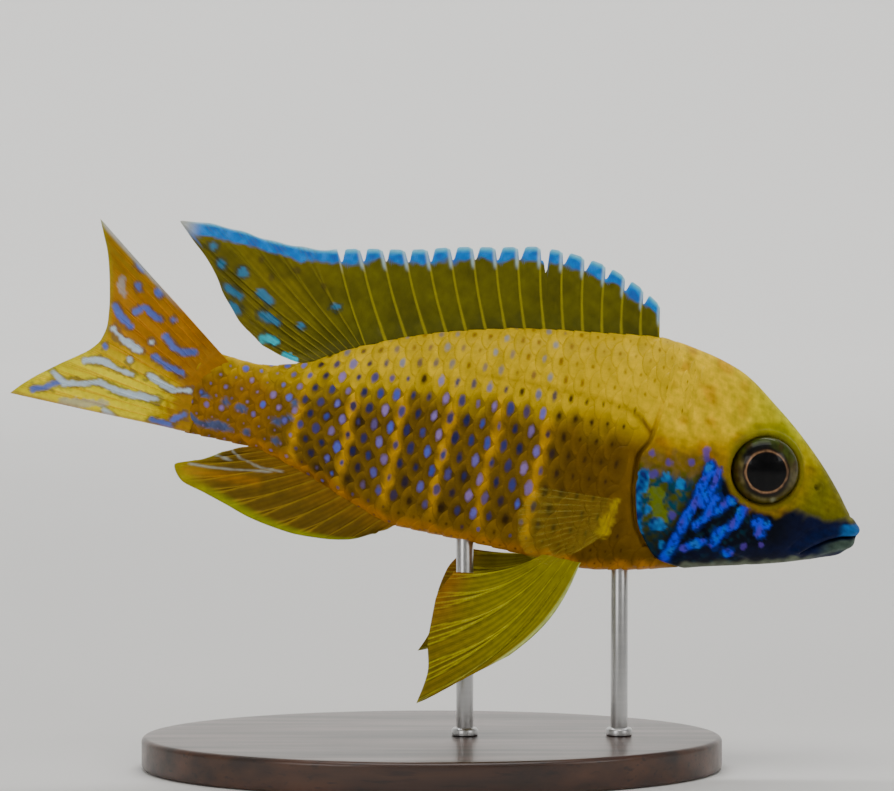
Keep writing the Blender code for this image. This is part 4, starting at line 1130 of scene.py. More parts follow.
@dataclass
class DorsalFin:
    """Long fin on the back: sixteen spines with lobed membrane, then soft rays drawn out to a point."""

    spines: int = 16
    soft_rays: int = 10
    spine_roots: tuple[float, float] = (34.8, 78.2)
    soft_roots: tuple[float, float] = (78.9, 87.2)
    spine_tips: Path = ((35.6, 26.8), (39.1, 28.9), (46.1, 31.4), (53.3, 32.1), (61.0, 30.8), (67.4, 29.6),
                        (74.0, 27.9), (81.0, 26.7), (85.1, 25.8))
    soft_tips: Path = ((85.1, 25.8), (92.2, 25.1), (103.7, 26.0), (110.4, 24.9), (105.5, 22.0), (101.3, 16.3),
                       (96.5, 11.1), (93.6, 9.3))
    lobe_notch: float = 1.9
    lobe_shoulder: float = 0.3
    torn_gap: float = 5.72
    torn_depth: float = 3.6
    lean: float = 1.6
    spots: tuple[Path, ...] = (
        ((101.9, 20.3),), ((98.4, 19.6),), ((100.3, 16.8), (98.3, 16.0)), ((95.3, 17.0), (93.6, 16.0)),
        ((99.4, 14.4), (98.3, 13.7)), ((94.4, 13.8), (92.1, 13.2)), ((88.3, 13.3),), ((103.8, 22.6),),
        ((83.8, 17.2),))
    bright_spots: tuple[Path, ...] = (((93.7, 10.5), (91.7, 10.3)), ((89.4, 8.3), (88.6, 8.0)))
    dark_spots: tuple[Path, ...] = (((94.0, 19.7),), ((96.0, 22.0),), ((90.5, 21.5),), ((86.0, 20.0),))
    lengths: Array = field(init=False, repr=False)

    def reach(self, where: Array, length: Array) -> Array:
        """Share of each column: full at a spine and its lobe, dipping before the next spine."""
        step = where - np.floor(where)
        dip = self.lobe_notch * ramp(step, 0.62, 0.92) * (1.0 - ramp(step, 0.95, 1.0))
        dip = dip + self.lobe_shoulder * (1.0 - ramp(step, 0.0, 0.2) + ramp(step, 0.9, 1.0))
        dip = np.where(where < self.spines - 1, dip, 0.25 * np.sin(math.pi * step) ** 2)
        dip = dip + self.torn_depth * bell(where - self.torn_gap, 0.09)
        return 1.0 - dip / length

    def shape(self, middle: Array, t: Array, where: Array) -> Array:
        """Lean of the soft part to the left, growing with the square of the height, and slack membrane."""
        share = where / (self.spines + self.soft_rays - 1)
        soft = np.clip((share - 0.5) * 2.0, 0.0, 1.0) ** 2
        slack = 0.16 * np.sin(2.0 * math.pi * where) * np.sin(math.pi * t)
        middle[..., 1] += self.lean * t**2 * soft + slack
        return middle

    def paint(self, middle: Array, t: Array, where: Array, ridge: Array) -> Array:
        """Olive membrane, lighter rays, blue lobes with white leading edges and a spotted rear.

        Args:
            middle: points (u, y, w) of the middle sheet.
            t: share of the way from root to margin.
            where: number of the ray at each column.
            ridge: height share of the rays.

        Returns:
            Linear colours.
        """
        u, w = middle[..., 0], middle[..., 2]
        step = (where - np.floor(where))[None, :]
        rear = ramp(u, 78.0, 96.0)
        fine = wobble(u, w, 1.7, 41)
        broad = wobble(u, w, 8.0, 42)
        colour = blend(tint(104, 100, 12), tint(126, 114, 14), rear)
        colour = blend(colour, tint(82, 78, 10), 0.6 * ramp(broad, -0.2, 0.9))
        colour = blend(colour, tint(58, 62, 10), 0.45 * (1.0 - ramp(t, 0.0, 0.35)))
        streak = 0.5 + 0.5 * np.sin(where * 2.0 * math.pi * 3.0)[None, :]
        colour = blend(colour, tint(96, 86, 8), 0.3 * streak * rear)
        colour = colour * (1.0 + 0.12 * fine)[..., None]
        ray = blend(tint(164, 154, 30), tint(206, 214, 190), ramp(t, 0.72, 0.92))
        soft_ray = blend(tint(142, 130, 22), tint(120, 112, 18), ramp(t, 0.3, 0.9))
        ray = blend(ray, soft_ray, 1.0 * (where > self.spines - 0.5)[None, :])
        colour = blend(colour, ray, 0.85 * ramp(ridge, 0.15, 0.7))
        from_margin = (1.0 - t) * np.interp(where, np.arange(len(self.lengths)), self.lengths)
        top_side = 1.0 - ramp(where, 20.2, 21.0)
        width = 2.1 + 1.0 * ramp(where, 15.0, 17.5) + 0.45 * wobble(u, w, 3.0, 43)
        band = ramp(width - from_margin, -0.3, 0.35) * top_side[None, :]
        blue = blend(tint(0, 148, 250), tint(0, 104, 214), 0.5 + 0.5 * fine)
        blue = blend(blue, tint(70, 206, 250), ramp(0.7 - from_margin, -0.3, 0.4))
        colour = blend(colour, blue, band * (0.93 - 0.25 * ramp(ridge, 0.3, 0.9)))
        spiny = (where < self.spines - 1)[None, :]
        lead = bell(step - 0.06, 0.07) * ramp(3.6 - from_margin, 0.0, 1.2) * spiny
        colour = blend(colour, tint(196, 232, 240), 0.75 * lead)
        rim = ramp(0.32 - from_margin, -0.12, 0.16) * top_side[None, :] * (0.7 - 0.4 * spiny)
        colour = blend(colour, tint(222, 240, 244), rim)
        colour = blend(colour, tint(24, 52, 50), 0.5 * stroke(u, w, self.spots + self.bright_spots, 0.92, 48))
        colour = blend(colour, tint(58, 132, 176), 0.88 * stroke(u, w, self.spots, 0.58, 45))
        colour = blend(colour, tint(40, 206, 232), 0.95 * stroke(u, w, self.bright_spots, 0.66, 46))
        colour = blend(colour, tint(74, 62, 26), 0.6 * stroke(u, w, self.dark_spots, 0.5, 47))
        tip = ramp(u, 105.5, 109.0) * top_side[None, :]
        return blend(colour, tint(206, 204, 190), 0.9 * tip)

    def ends(self, form: FishForm) -> tuple[Array, Array]:
        """Root and tip points of all rays, from the even spacing of the spines and of the soft rays."""
        places = np.concatenate((np.linspace(*self.spine_roots, self.spines),
                                 np.linspace(*self.soft_roots, self.soft_rays)))
        roots = upright(np.stack((places, form.top(places)), 1))
        spiny = along(self.spine_tips, np.linspace(0.0, 1.0, self.spines))
        soft = along(self.soft_tips, np.linspace(0.0, 1.0, self.soft_rays + 1))[1:]
        return roots, upright(np.concatenate((spiny, soft)))

    def build(self, form: FishForm, material: bpy.types.Material) -> bpy.types.Object:
        """Make the fin."""
        roots, tips = self.ends(form)
        self.lengths = np.linalg.norm(tips - roots, axis=1)
        sheet = FinSheet("dorsal", "dorsal_fin", roots, tips, self.spines, 18, 56, bow=0.02, ray_half=0.26)
        return sheet.build(form, material, "fin_membrane", self.paint, self.shape, self.reach)


@dataclass
class CaudalFin:
    """Tail fin, spread above and below, with its lower lobe cupped to the fish's right."""

    rays: int = 16
    root: Path = ((99.9, 7.2), (103.0, 2.0), (104.5, -5.8))
    tips: Path = ((121.7, 23.3), (119.6, 18.4), (117.9, 11.5), (117.4, 7.0), (118.9, 4.0), (122.9, 0.9),
                  (127.6, -2.8), (130.0, -5.3))
    cup: float = 4.5
    blue_strokes: tuple[Path, ...] = (
        ((114.6, 17.9), (114.0, 17.1)), ((114.0, 14.4), (113.8, 14.1)), ((110.8, 14.1), (110.4, 13.8)),
        ((113.6, 10.5), (112.4, 11.4), (111.0, 10.6), (109.6, 10.1)), ((107.6, 10.5),),
        ((116.8, 10.7), (115.5, 9.2), (114.0, 8.1)), ((108.1, 7.6), (106.8, 6.3), (105.4, 5.8), (103.6, 6.2)),
        ((109.4, 4.3), (107.4, 3.4), (104.7, 2.7)), ((117.2, 4.5),),
        ((126.6, -4.0), (124.5, -3.1), (122.4, -1.9)), ((104.9, -4.5), (103.3, -3.5)),
        ((107.9, -5.1), (105.1, -5.4)))
    pale_strokes: tuple[Path, ...] = (
        ((116.5, 7.2), (114.3, 5.8), (111.7, 4.8)), ((119.7, 1.7), (117.0, 2.2), (114.6, 1.4), (112.2, 1.0)),
        ((109.5, 1.5), (107.5, 0.6), (105.5, -0.1), (103.1, 0.4)), ((110.2, 6.4),), ((112.9, 3.1),),
        ((122.3, -2.4), (119.6, -1.7), (116.7, -1.0), (113.9, -1.8), (111.6, -2.0), (107.8, -1.9)),
        ((124.1, -0.9), (122.3, -2.2)), ((115.3, -5.2), (114.0, -5.5)))
    faint_strokes: tuple[Path, ...] = (
        ((121.7, -5.0), (118.7, -4.7), (115.8, -4.1)), ((116.7, 14.8), (116.1, 13.1)))

    def shape(self, middle: Array, t: Array, where: Array) -> Array:
        """Cup of the lower lobe, with a slow wave across the rays."""
        share = where / (self.rays - 1)
        wave = 0.3 * np.sin(2.0 * math.pi * where * 0.31 + 3.0 * t) * t
        middle[..., 1] -= self.cup * t * np.clip(share * 1.6 - 0.6, -0.2, 1.0) - wave
        return middle

    def paint(self, middle: Array, t: Array, where: Array, ridge: Array) -> Array:
        """Orange-ochre upper lobe, bright yellow lower lobe, blue and pale strokes, white leading edge.

        Args:
            middle: points (u, y, w) of the middle sheet.
            t: share of the way from root to margin.
            where: number of the ray at each column.
            ridge: height share of the rays.

        Returns:
            Linear colours.
        """
        u, w = middle[..., 0], middle[..., 2]
        share = (where / (self.rays - 1))[None, :] * np.ones_like(u)
        fine = wobble(u, w, 1.8, 51)
        colour = blend(tint(186, 126, 0), tint(252, 232, 0), ramp(share, 0.42, 0.7))
        colour = blend(colour, tint(150, 128, 8), 0.7 * ramp(w, 10.0, 20.0))
        colour = blend(colour, tint(164, 112, 10), 0.9 * (1.0 - ramp(t + 0.05 * fine, 0.02, 0.24)))
        colour = colour * (1.0 + 0.08 * fine)[..., None]
        streak = 0.5 + 0.5 * np.sin(where * 2.0 * math.pi * 4.0)[None, :]
        colour = blend(colour, tint(206, 120, 10), 0.22 * streak * ramp(ridge, 0.0, 0.3))
        colour = blend(colour, tint(226, 150, 20), 0.4 * ramp(ridge, 0.3, 0.9) * ramp(t, 0.05, 0.3))
        outline = stroke(u, w, self.blue_strokes + self.pale_strokes, 0.78, 55)
        colour = blend(colour, tint(84, 78, 72), 0.58 * outline)
        colour = blend(colour, tint(176, 180, 188), 0.6 * stroke(u, w, self.faint_strokes, 0.7, 54))
        colour = blend(colour, tint(98, 122, 214), 0.92 * stroke(u, w, self.blue_strokes, 0.46, 52))
        colour = blend(colour, tint(206, 228, 244), 0.94 * stroke(u, w, self.pale_strokes, 0.4, 53))
        edge = (1.0 - ramp(where, 0.1, 0.7))[None, :]
        colour = blend(colour, tint(206, 210, 206), 0.85 * edge * ramp(t, 0.25, 0.6))
        colour = blend(colour, tint(170, 172, 40), 0.5 * ramp(t, 0.94, 1.0))
        last = ramp(where, self.rays - 1.5, self.rays - 1.0)[None, :]
        return blend(colour, tint(170, 132, 88), 0.6 * last)

    def build(self, form: FishForm, material: bpy.types.Material) -> bpy.types.Object:
        """Make the fin."""
        places = np.linspace(0.0, 1.0, self.rays)
        roots, tips = upright(along(self.root, places)), upright(along(self.tips, places))
        sheet = FinSheet("caudal", "caudal_fin", roots, tips, 0, 20, 64, root_half=0.62, root_sink=2.6,
                         split_start=0.25)
        return sheet.build(form, material, "fin_membrane", self.paint, self.shape)


@dataclass
class AnalFin:
    """Fin under the tail stalk, laid back along it: three spines and nine soft rays."""

    rays: int = 12
    spines: int = 3
    roots: tuple[float, float] = (68.7, 92.8)
    tips: Path = ((71.6, -15.4), (76.3, -17.4), (82.4, -17.9), (88.7, -17.2), (95.2, -15.3), (104.1, -11.9),
                  (99.6, -9.7), (96.3, -7.8))
    pale_strokes: tuple[Path, ...] = (((101.0, -10.6), (98.4, -10.5), (93.9, -10.0), (88.7, -9.3)),
                                      ((95.7, -6.9), (93.5, -8.2), (90.0, -9.0), (87.0, -8.9)),
                                      ((97.3, -8.5), (94.9, -8.8)))
    glow_line: Path = ((101.5, -11.6), (96.0, -11.4), (90.5, -11.2))

    def shape(self, middle: Array, t: Array, where: Array) -> Array:
        """Slack membrane between the rays."""
        middle[..., 1] += 0.14 * np.sin(2.0 * math.pi * where) * np.sin(math.pi * t) + 0.5 * t**2
        return middle

    def paint(self, middle: Array, t: Array, where: Array, ridge: Array) -> Array:
        """Ochre membrane with darker streaks, a yellow-green margin and silvery lines at the rear base.

        Args:
            middle: points (u, y, w) of the middle sheet.
            t: share of the way from root to margin.
            where: number of the ray at each column.
            ridge: height share of the rays.

        Returns:
            Linear colours.
        """
        u, w = middle[..., 0], middle[..., 2]
        fine = wobble(u, w, 1.6, 61)
        colour = blend(tint(148, 108, 10), tint(118, 92, 8), ramp(t, 0.0, 0.5))
        streak = 0.5 + 0.5 * np.sin(where * 2.0 * math.pi * 3.0 + 0.5)[None, :]
        colour = blend(colour, tint(88, 66, 6), 0.45 * streak)
        colour = blend(colour, tint(172, 140, 20), 0.75 * ramp(ridge, 0.2, 0.8))
        colour = blend(colour, tint(158, 168, 22), 0.85 * ramp(t, 0.8, 0.97))
        colour = blend(colour, tint(176, 150, 20), 0.6 * ramp(u, 95.0, 102.0))
        glow = bell(path_distance(u, w, self.glow_line), 0.8) * (0.5 + 0.5 * streak)
        colour = blend(colour, tint(214, 142, 14), 0.5 * glow)
        colour = colour * (1.0 + 0.12 * fine)[..., None]
        pale = stroke(u, w, self.pale_strokes, 0.12, 62)
        return blend(colour, tint(186, 196, 186), 0.8 * pale)

    def build(self, form: FishForm, material: bpy.types.Material) -> bpy.types.Object:
        """Make the fin."""
        places = np.linspace(*self.roots, self.rays)
        roots = upright(np.stack((places, form.bottom(places)), 1))
        tips = upright(along(self.tips, np.linspace(0.0, 1.0, self.rays)))
        sheet = FinSheet("anal", "anal_fin", roots, tips, self.spines, 18, 44, bow=-0.02, root_sink=1.0)
        return sheet.build(form, material, "fin_membrane", self.paint, self.shape)


@dataclass
class PelvicFin:
    """One of the paired belly fins, hanging down and back: one spine and five long soft rays."""

    side: Side
    places: tuple[float, float] = (40.1, 46.0)
    root_side: float = 2.3
    tips: Path = ((48.6, -29.1), (60.4, -38.3), (59.6, -33.5), (60.5, -28.3), (60.5, -23.0), (58.6, -18.3))
    spread_out: tuple[float, ...] = (7.6, 8.6, 7.6, 6.6, 5.6, 4.6)
    left_swing: float = math.radians(8.5)
    left_length: float = 0.9
    left_spread: float = 1.35

    def paint(self, middle: Array, t: Array, where: Array, ridge: Array) -> Array:
        """Olive-yellow membrane, lighter rays, a pale leading edge and an orange rear tip.

        Args:
            middle: points (u, y, w) of the middle sheet.
            t: share of the way from root to margin.
            where: number of the ray at each column.
            ridge: height share of the rays.

        Returns:
            Linear colours.
        """
        u, w = middle[..., 0], middle[..., 2]
        fine = wobble(u, w, 1.5, 71)
        colour = blend(tint(156, 148, 8), tint(140, 120, 8), ramp(t, 0.4, 1.0))
        streak = 0.5 + 0.5 * np.sin(where * 2.0 * math.pi * 4.0 + 1.0)[None, :]
        colour = blend(colour, tint(86, 80, 6), 0.5 * streak * ramp(t, 0.05, 0.3))
        # Painted shade: darker at the foot of each ray, in the crease beside it.
        groove = ramp(ridge, 0.01, 0.1) * (1.0 - ramp(ridge, 0.12, 0.3))
        colour = blend(colour, tint(74, 66, 4), 0.6 * groove * ramp(t, 0.04, 0.2))
        colour = blend(colour, tint(186, 178, 34), 0.8 * ramp(ridge, 0.2, 0.8))
        lead = (1.0 - ramp(where, 0.03, 0.22))[None, :]
        colour = blend(colour, tint(214, 228, 128), 0.9 * lead)
        edge = bell(where - 1.0, 0.12)[None, :] * ramp(t, 0.5, 0.8)
        colour = blend(colour, tint(196, 202, 120), 0.8 * edge)
        rear = ramp(where, 2.6, 4.4)[None, :] * ramp(t, 0.7, 1.0)
        colour = blend(colour, tint(156, 92, 14), 0.6 * rear)
        return colour * (1.0 + 0.1 * fine)[..., None]

    def build(self, form: FishForm, material: bpy.types.Material) -> bpy.types.Object:
        """Make the fin: the left one swung back, shortened and spread as the far fin of the photo."""
        sign = self.side.value
        left = self.side is Side.LEFT
        swing = self.left_swing if left else 0.0
        length = self.left_length if left else 1.0
        spread = self.left_spread if left else 1.0
        count = len(self.tips)
        u = np.linspace(*self.places, count)
        rise = np.sqrt(1.0 - (self.root_side / form.half_width(u)) ** (2.0 / form.belly_power))
        belly = form.widest(u) - (form.widest(u) - form.bottom(u)) * rise
        roots = np.stack((u, np.full(count, sign * self.root_side), belly), 1)
        tips = upright(np.array(self.tips))
        tips[:, 1] = sign * spread * np.array(self.spread_out)
        along_u = length * (tips[:, 0] - roots[0, 0])
        along_w = length * (tips[:, 2] - roots[0, 2] + 0.3)
        tips[:, 0] = roots[0, 0] + along_u * math.cos(swing) - along_w * math.sin(swing)
        tips[:, 2] = roots[0, 2] - 0.3 + along_u * math.sin(swing) + along_w * math.cos(swing)
        name = f"pelvic_{self.side.word}"
        sheet = FinSheet(name, f"pelvic_fin_{self.side.word}", roots, tips, 1, 30, 56, bow=-0.08,
                         root_sink=1.0, split_start=0.3)
        return sheet.build(form, material, "fin_membrane", self.paint)


@dataclass
class PectoralFin:
    """One of the paired clear fins behind the gill covers, held out from the flank."""

    side: Side
    rays: int = 13
    root: Path = ((36.6, -2.8), (37.5, -8.0))
    outward: float = math.radians(47.0)
    fan: tuple[float, float] = (math.radians(2.0), math.radians(-31.0))
    lengths: Curve = Curve(((0.0, 16.5), (0.25, 20.0), (0.5, 19.0), (0.75, 16.0), (1.0, 11.5)))

    def paint(self, middle: Array, t: Array, where: Array, ridge: Array) -> Array:
        """Clear yellow membrane with brighter rays, from a bright yellow base.

        Args:
            middle: points (u, y, w) of the middle sheet; not used.
            t: share of the way from root to margin.
            where: number of the ray at each column; not used.
            ridge: height share of the rays.

        Returns:
            Linear colours.
        """
        colour = blend(tint(206, 184, 40), tint(226, 206, 70), ramp(ridge, 0.2, 0.8))
        return blend(colour, tint(204, 168, 10), 1.0 - ramp(t, 0.0, 0.2))

    def shape(self, middle: Array, t: Array, where: Array) -> Array:
        """Backward curl of the outer half of the fin."""
        middle[..., 0] += 0.9 * t**2
        middle[..., 1] -= self.side.value * 0.9 * t**2.5
        return middle

    def build(self, form: FishForm, material: bpy.types.Material) -> bpy.types.Object:
        """Make the fin: rays fanned in a plane that stands out from the flank."""
        sign = self.side.value
        share = np.linspace(0.0, 1.0, self.rays)
        line = along(self.root, share)
        flank = np.array([form.flank(u, w) for u, w in line])
        roots = np.stack((line[:, 0], sign * flank, line[:, 1]), 1)
        fan = self.fan[0] + (self.fan[1] - self.fan[0]) * share
        out = np.stack((np.cos(fan) * math.cos(self.outward), sign * np.cos(fan) * math.sin(self.outward),
                        np.sin(fan)), 1)
        tips = roots + out * self.lengths(share)[:, None]
        name = f"pectoral_{self.side.word}"
        sheet = FinSheet(name, f"pectoral_fin_{self.side.word}", roots, tips, 0, 12, 44, root_half=0.3,
                         membrane_half=0.06, ray_half=0.2, root_sink=0.9, split_start=0.35)
        return sheet.build(form, material, "clear_fin", self.paint, self.shape)


@dataclass
class Eye:
    """One eyeball, flattened towards the head, with its pupil, gold ring and iris as rings of colour."""

    side: Side
    centre: tuple[float, float] = (15.8, 5.6)
    radius: float = 5.1
    depth: float = 2.7
    sunk: float = 1.1
    turn: float = math.radians(3.0)
    lens_height: float = 0.16
    rear_patch: Path = ((3.6, 0.4), (3.2, -1.9))
    low_patch: Path = ((2.4, -3.6), (-0.6, -4.2))
    rings: int = 72
    spokes: int = 128

    def paint(self, r: Array, back: Array, up: Array) -> Array:
        """Colours by distance from the pupil's middle, uneven round the iris.

        Args:
            r: distance from the eye's middle.
            back: distance towards the tail.
            up: distance upward.

        Returns:
            Linear colours.
        """
        uneven = wobble(back, up, 2.4, 81)
        fine = wobble(back, up, 0.9, 82)
        iris = blend(tint(104, 92, 22), tint(84, 98, 26), ramp(up, 0.5, 3.5))
        iris = blend(iris, tint(164, 148, 92), 0.7 * bell(path_distance(back, up, self.rear_patch), 0.55))
        iris = blend(iris, tint(150, 140, 84), 0.6 * bell(path_distance(back, up, self.low_patch), 0.4))
        # Painted highlight: a small pale glint low at the front of the iris.
        iris = blend(iris, tint(184, 188, 150), 0.9 * bell(np.hypot(back + 1.9, up + 4.0), 0.4))
        iris = blend(iris, tint(84, 58, 26), 0.7 * ramp(uneven, 0.0, 0.9))
        dark = ramp(up - 0.2 * back, -0.4, 1.2) * ramp(back, -2.2, 1.2) * ramp(-r, -4.6, -4.0)
        iris = blend(iris, tint(6, 6, 18), 0.95 * dark)
        low = ramp(-up - 0.5 * back, 0.6, 2.0) * ramp(-r, -4.2, -3.7)
        iris = blend(iris, tint(10, 8, 10), 0.85 * low)
        front = ramp(-back, 2.6, 3.6) * bell(up, 1.6)
        iris = blend(iris, tint(154, 144, 108), 0.5 * front)
        iris = 0.5 * iris * (1.0 + 0.2 * fine)[..., None]
        iris = blend(iris, tint(26, 16, 10), ramp(-r, -3.85, -3.35))
        ring_at = 3.12 + 0.07 * uneven
        ring = (0.55 + 0.35 * ramp(back - up, -2.5, 2.5) + 0.25 * fine) * bell(r - ring_at, 0.12)
        iris = blend(iris, tint(186, 140, 100), ring)
        pupil = np.hypot(back * 0.97, up * 1.03)
        iris = blend(iris, tint(3, 3, 5), ramp(2.98 - pupil, -0.05, 0.08))
        return blend(iris, tint(66, 68, 14), ramp(r, 4.7, 5.1))

    def build(self, form: FishForm, material: bpy.types.Material) -> bpy.types.Object:
        """Turn a flattened ball from rings and spokes, its axis turned a little forward."""
        t = np.linspace(0.0, 1.0, self.rings)[1:-1, None]
        spin = full_turn(self.spokes)[None, :]
        polar = math.pi * t**1.15
        back = self.radius * np.sin(polar) * np.cos(spin)
        up = self.radius * np.sin(polar) * np.sin(spin)
        out = self.depth * np.cos(polar) + 0.0 * spin
        lens = self.lens_height * bell(np.hypot(back, up), 2.2) * (polar < math.pi / 2)
        local = np.stack((back, out + lens, up), -1).reshape(-1, 3)
        poles = np.array(((0.0, self.depth + self.lens_height, 0.0), (0.0, -self.depth, 0.0)))
        local = np.concatenate((local, poles))
        sign = self.side.value
        cos, sin = math.cos(self.turn), math.sin(self.turn)
        u = self.centre[0] + local[:, 0] * cos - local[:, 1] * sin
        y = sign * (form.flank(*self.centre) - self.sunk + local[:, 0] * sin + local[:, 1] * cos)
        points = np.stack((u, y, self.centre[1] + local[:, 2]), 1)
        rows = self.rings - 2
        quads, fans = grid_faces(rows, self.spokes, closed=True), end_fans(rows, self.spokes)
        if self.side is Side.RIGHT:
            quads, fans = quads[:, ::-1], fans[:, ::-1]
        name = f"eyeball_{self.side.word}"
        mesh = make_mesh(name, form.place(points), quads, fans)
        colours = self.paint(np.hypot(local[:, 0], local[:, 2]), local[:, 0], local[:, 2])
        behind = (local[:, 1] < 0)[:, None]
        set_colours(mesh, "tint", np.where(behind, tint(20, 18, 12), np.clip(colours, 0.0, 1.0)))
        piece = add_piece(name, mesh, material, "eye")
        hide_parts(f"eye_{self.side.word}")
        return piece


@dataclass
class DisplayStand:
    """Oval base with a rounded edge, and two round rods up to the belly."""

    length: float = 88.0
    width: float = 56.0
    height: float = 5.0
    edge_radius: float = 0.8
    rod_radius: float = 1.3
    rod_reach: float = 0.9
    collar: Path = ((0.55, 0.0), (0.7, 0.12), (0.7, 0.85), (0.5, 1.1), (0.0, 1.25))
    bevel: Path = ((0.0, 0.25), (-0.12, 0.03), (-0.3, 0.0))
    sharp_angle: float = math.radians(40.0)
    spokes: int = 256
    rod_spokes: int = 48

    def build_base(self, material: bpy.types.Material) -> bpy.types.Object:
        """Carry the edge's profile round an ellipse, closed by a point at the middle of each face."""
        quarter = np.linspace(0.0, math.pi / 2, 9)
        r = self.edge_radius
        inset = np.concatenate((r - r * np.sin(quarter), r - r * np.cos(quarter)))
        level = np.concatenate((r - r * np.cos(quarter), self.height - r + r * np.sin(quarter)))
        inward = np.linspace(1.0, 0.05, 14)[1:]
        spin = full_turn(self.spokes)
        rings = [(0.5 * self.length - i, 0.5 * self.width - i, z) for i, z in zip(inset, level)]
        flat = [(a * (0.5 * self.length - r), a * (0.5 * self.width - r)) for a in inward]
        rings = [(a, b, 0.0) for a, b in reversed(flat)] + rings + [(a, b, self.height) for a, b in flat]
        size = np.array(rings)
        points = np.stack((size[:, :1] * np.cos(spin), size[:, 1:2] * np.sin(spin),
                           size[:, 2:] + 0.0 * spin), -1)
        return self.turned("display_base", points, "stand_base", "dark_wood", material)

    def turned(self, name: str, points: Array, node: str, slot: str,
               material: bpy.types.Material) -> bpy.types.Object:
        """Close rings of points with a point at each end and dress the piece.

        Args:
            name: name of the piece.
            points: rings of points in millimetres.
            node: node that the piece replaces.
            slot: material slot of the record.
            material: finish of the piece.

        Returns:
            The finished piece.
        """
        rows, columns = points.shape[:2]
        ends = np.stack((points[0].mean(0), points[-1].mean(0)))
        mesh = make_mesh(name, np.concatenate((points.reshape(-1, 3), ends)) * MM,
                         grid_faces(rows, columns, closed=True), end_fans(rows, columns))
        mesh.set_sharp_from_angle(angle=self.sharp_angle)
        piece = add_piece(name, mesh, material, slot)
        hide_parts(node)
        return piece

    def build_rod(self, node: str, material: bpy.types.Material) -> bpy.types.Object:
        """Round rod with a small collar at its foot, its sloped top just inside the belly."""
        low, high = (np.array(corner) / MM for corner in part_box(node))
        centre = (low + high) / 2.0
        spots = vertex_places(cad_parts[node].data) / MM
        top = spots[spots[:, 2] > centre[2]]
        slope, offset = np.polyfit(top[:, 0], top[:, 2], 1)
        spin = full_turn(self.rod_spokes)
        foot = self.height + 0.02
        rings = []
        for wider, rise in self.collar:
            a = self.rod_radius + wider
            x = centre[0] + a * np.cos(spin)
            rings.append(np.stack((x, a * np.sin(spin), foot + rise + 0.0 * spin), -1))
        for wider, drop in self.bevel:
            a = self.rod_radius + wider
            x = centre[0] + a * np.cos(spin)
            rings.append(np.stack((x, a * np.sin(spin), slope * x + offset + self.rod_reach - drop), -1))
        return self.turned(node.replace("stand_", "display_"), np.stack(rings), node, "steel_rod", material)


class Nodes:
    """Short hand for building a node tree."""

    def __init__(self, tree: bpy.types.NodeTree) -> None:
        """Hold the tree."""
        self.tree = tree

    def add(self, kind: str, **settings: str) -> bpy.types.Node:
        """Add a node and set its properties."""
        node = self.tree.nodes.new(kind)
        for key, value in settings.items():
            setattr(node, key, value)
        return node

    def link(self, source: bpy.types.NodeSocket, target: bpy.types.NodeSocket) -> None:
        """Join two sockets."""
        self.tree.links.new(source, target)

    def feed(self, target: bpy.types.NodeSocket, value: Feed) -> None:
        """Link a socket to an input, or set the input to a number or colour."""
        if isinstance(value, bpy.types.NodeSocket):
            self.link(value, target)
        else:
            target.default_value = value

    def math(self, operation: str, *values: Feed) -> bpy.types.NodeSocket:
        """Math node on sockets or numbers."""
        node = self.add("ShaderNodeMath", operation=operation)
        for target, value in zip(node.inputs, values):
            self.feed(target, value)
        return node.outputs[0]

    def mix(self, factor: Feed, first: Feed, second: Feed) -> bpy.types.NodeSocket:
        """Colour mix of sockets or colours."""
        node = self.add("ShaderNodeMix", data_type="RGBA")
        for target, value in ((node.inputs[0], factor), (node.inputs[6], first), (node.inputs[7], second)):
            self.feed(target, value)
        return node.outputs[2]

    def noise(self, scale: float, detail: float = 3.0,
              vector: bpy.types.NodeSocket | None = None) -> bpy.types.NodeSocket:
        """Noise on Object coordinates, or on another vector, as a value of 0 to 1."""
        node = self.add("ShaderNodeTexNoise")
        node.inputs["Scale"].default_value = scale
        node.inputs["Detail"].default_value = detail
        if vector is None:
            vector = self.add("ShaderNodeTexCoord").outputs["Object"]
        self.link(vector, node.inputs["Vector"])
        return node.outputs["Fac"]

    def span(self, value: bpy.types.NodeSocket, low: float, high: float,
             first: float, last: float) -> bpy.types.NodeSocket:
        """Map a value from one range to another, clamped."""
        node = self.add("ShaderNodeMapRange")
        self.link(value, node.inputs["Value"])
        for key, number in (("From Min", low), ("From Max", high), ("To Min", first), ("To Max", last)):
            node.inputs[key].default_value = number
        return node.outputs["Result"]

    def bump(self, height: bpy.types.NodeSocket, distance: float, strength: float) -> bpy.types.NodeSocket:
        """Bump of a height, scaled by a distance in metres."""
        node = self.add("ShaderNodeBump")
        node.inputs["Strength"].default_value = strength
        node.inputs["Distance"].default_value = distance
        self.link(height, node.inputs["Height"])
        return node.outputs["Normal"]


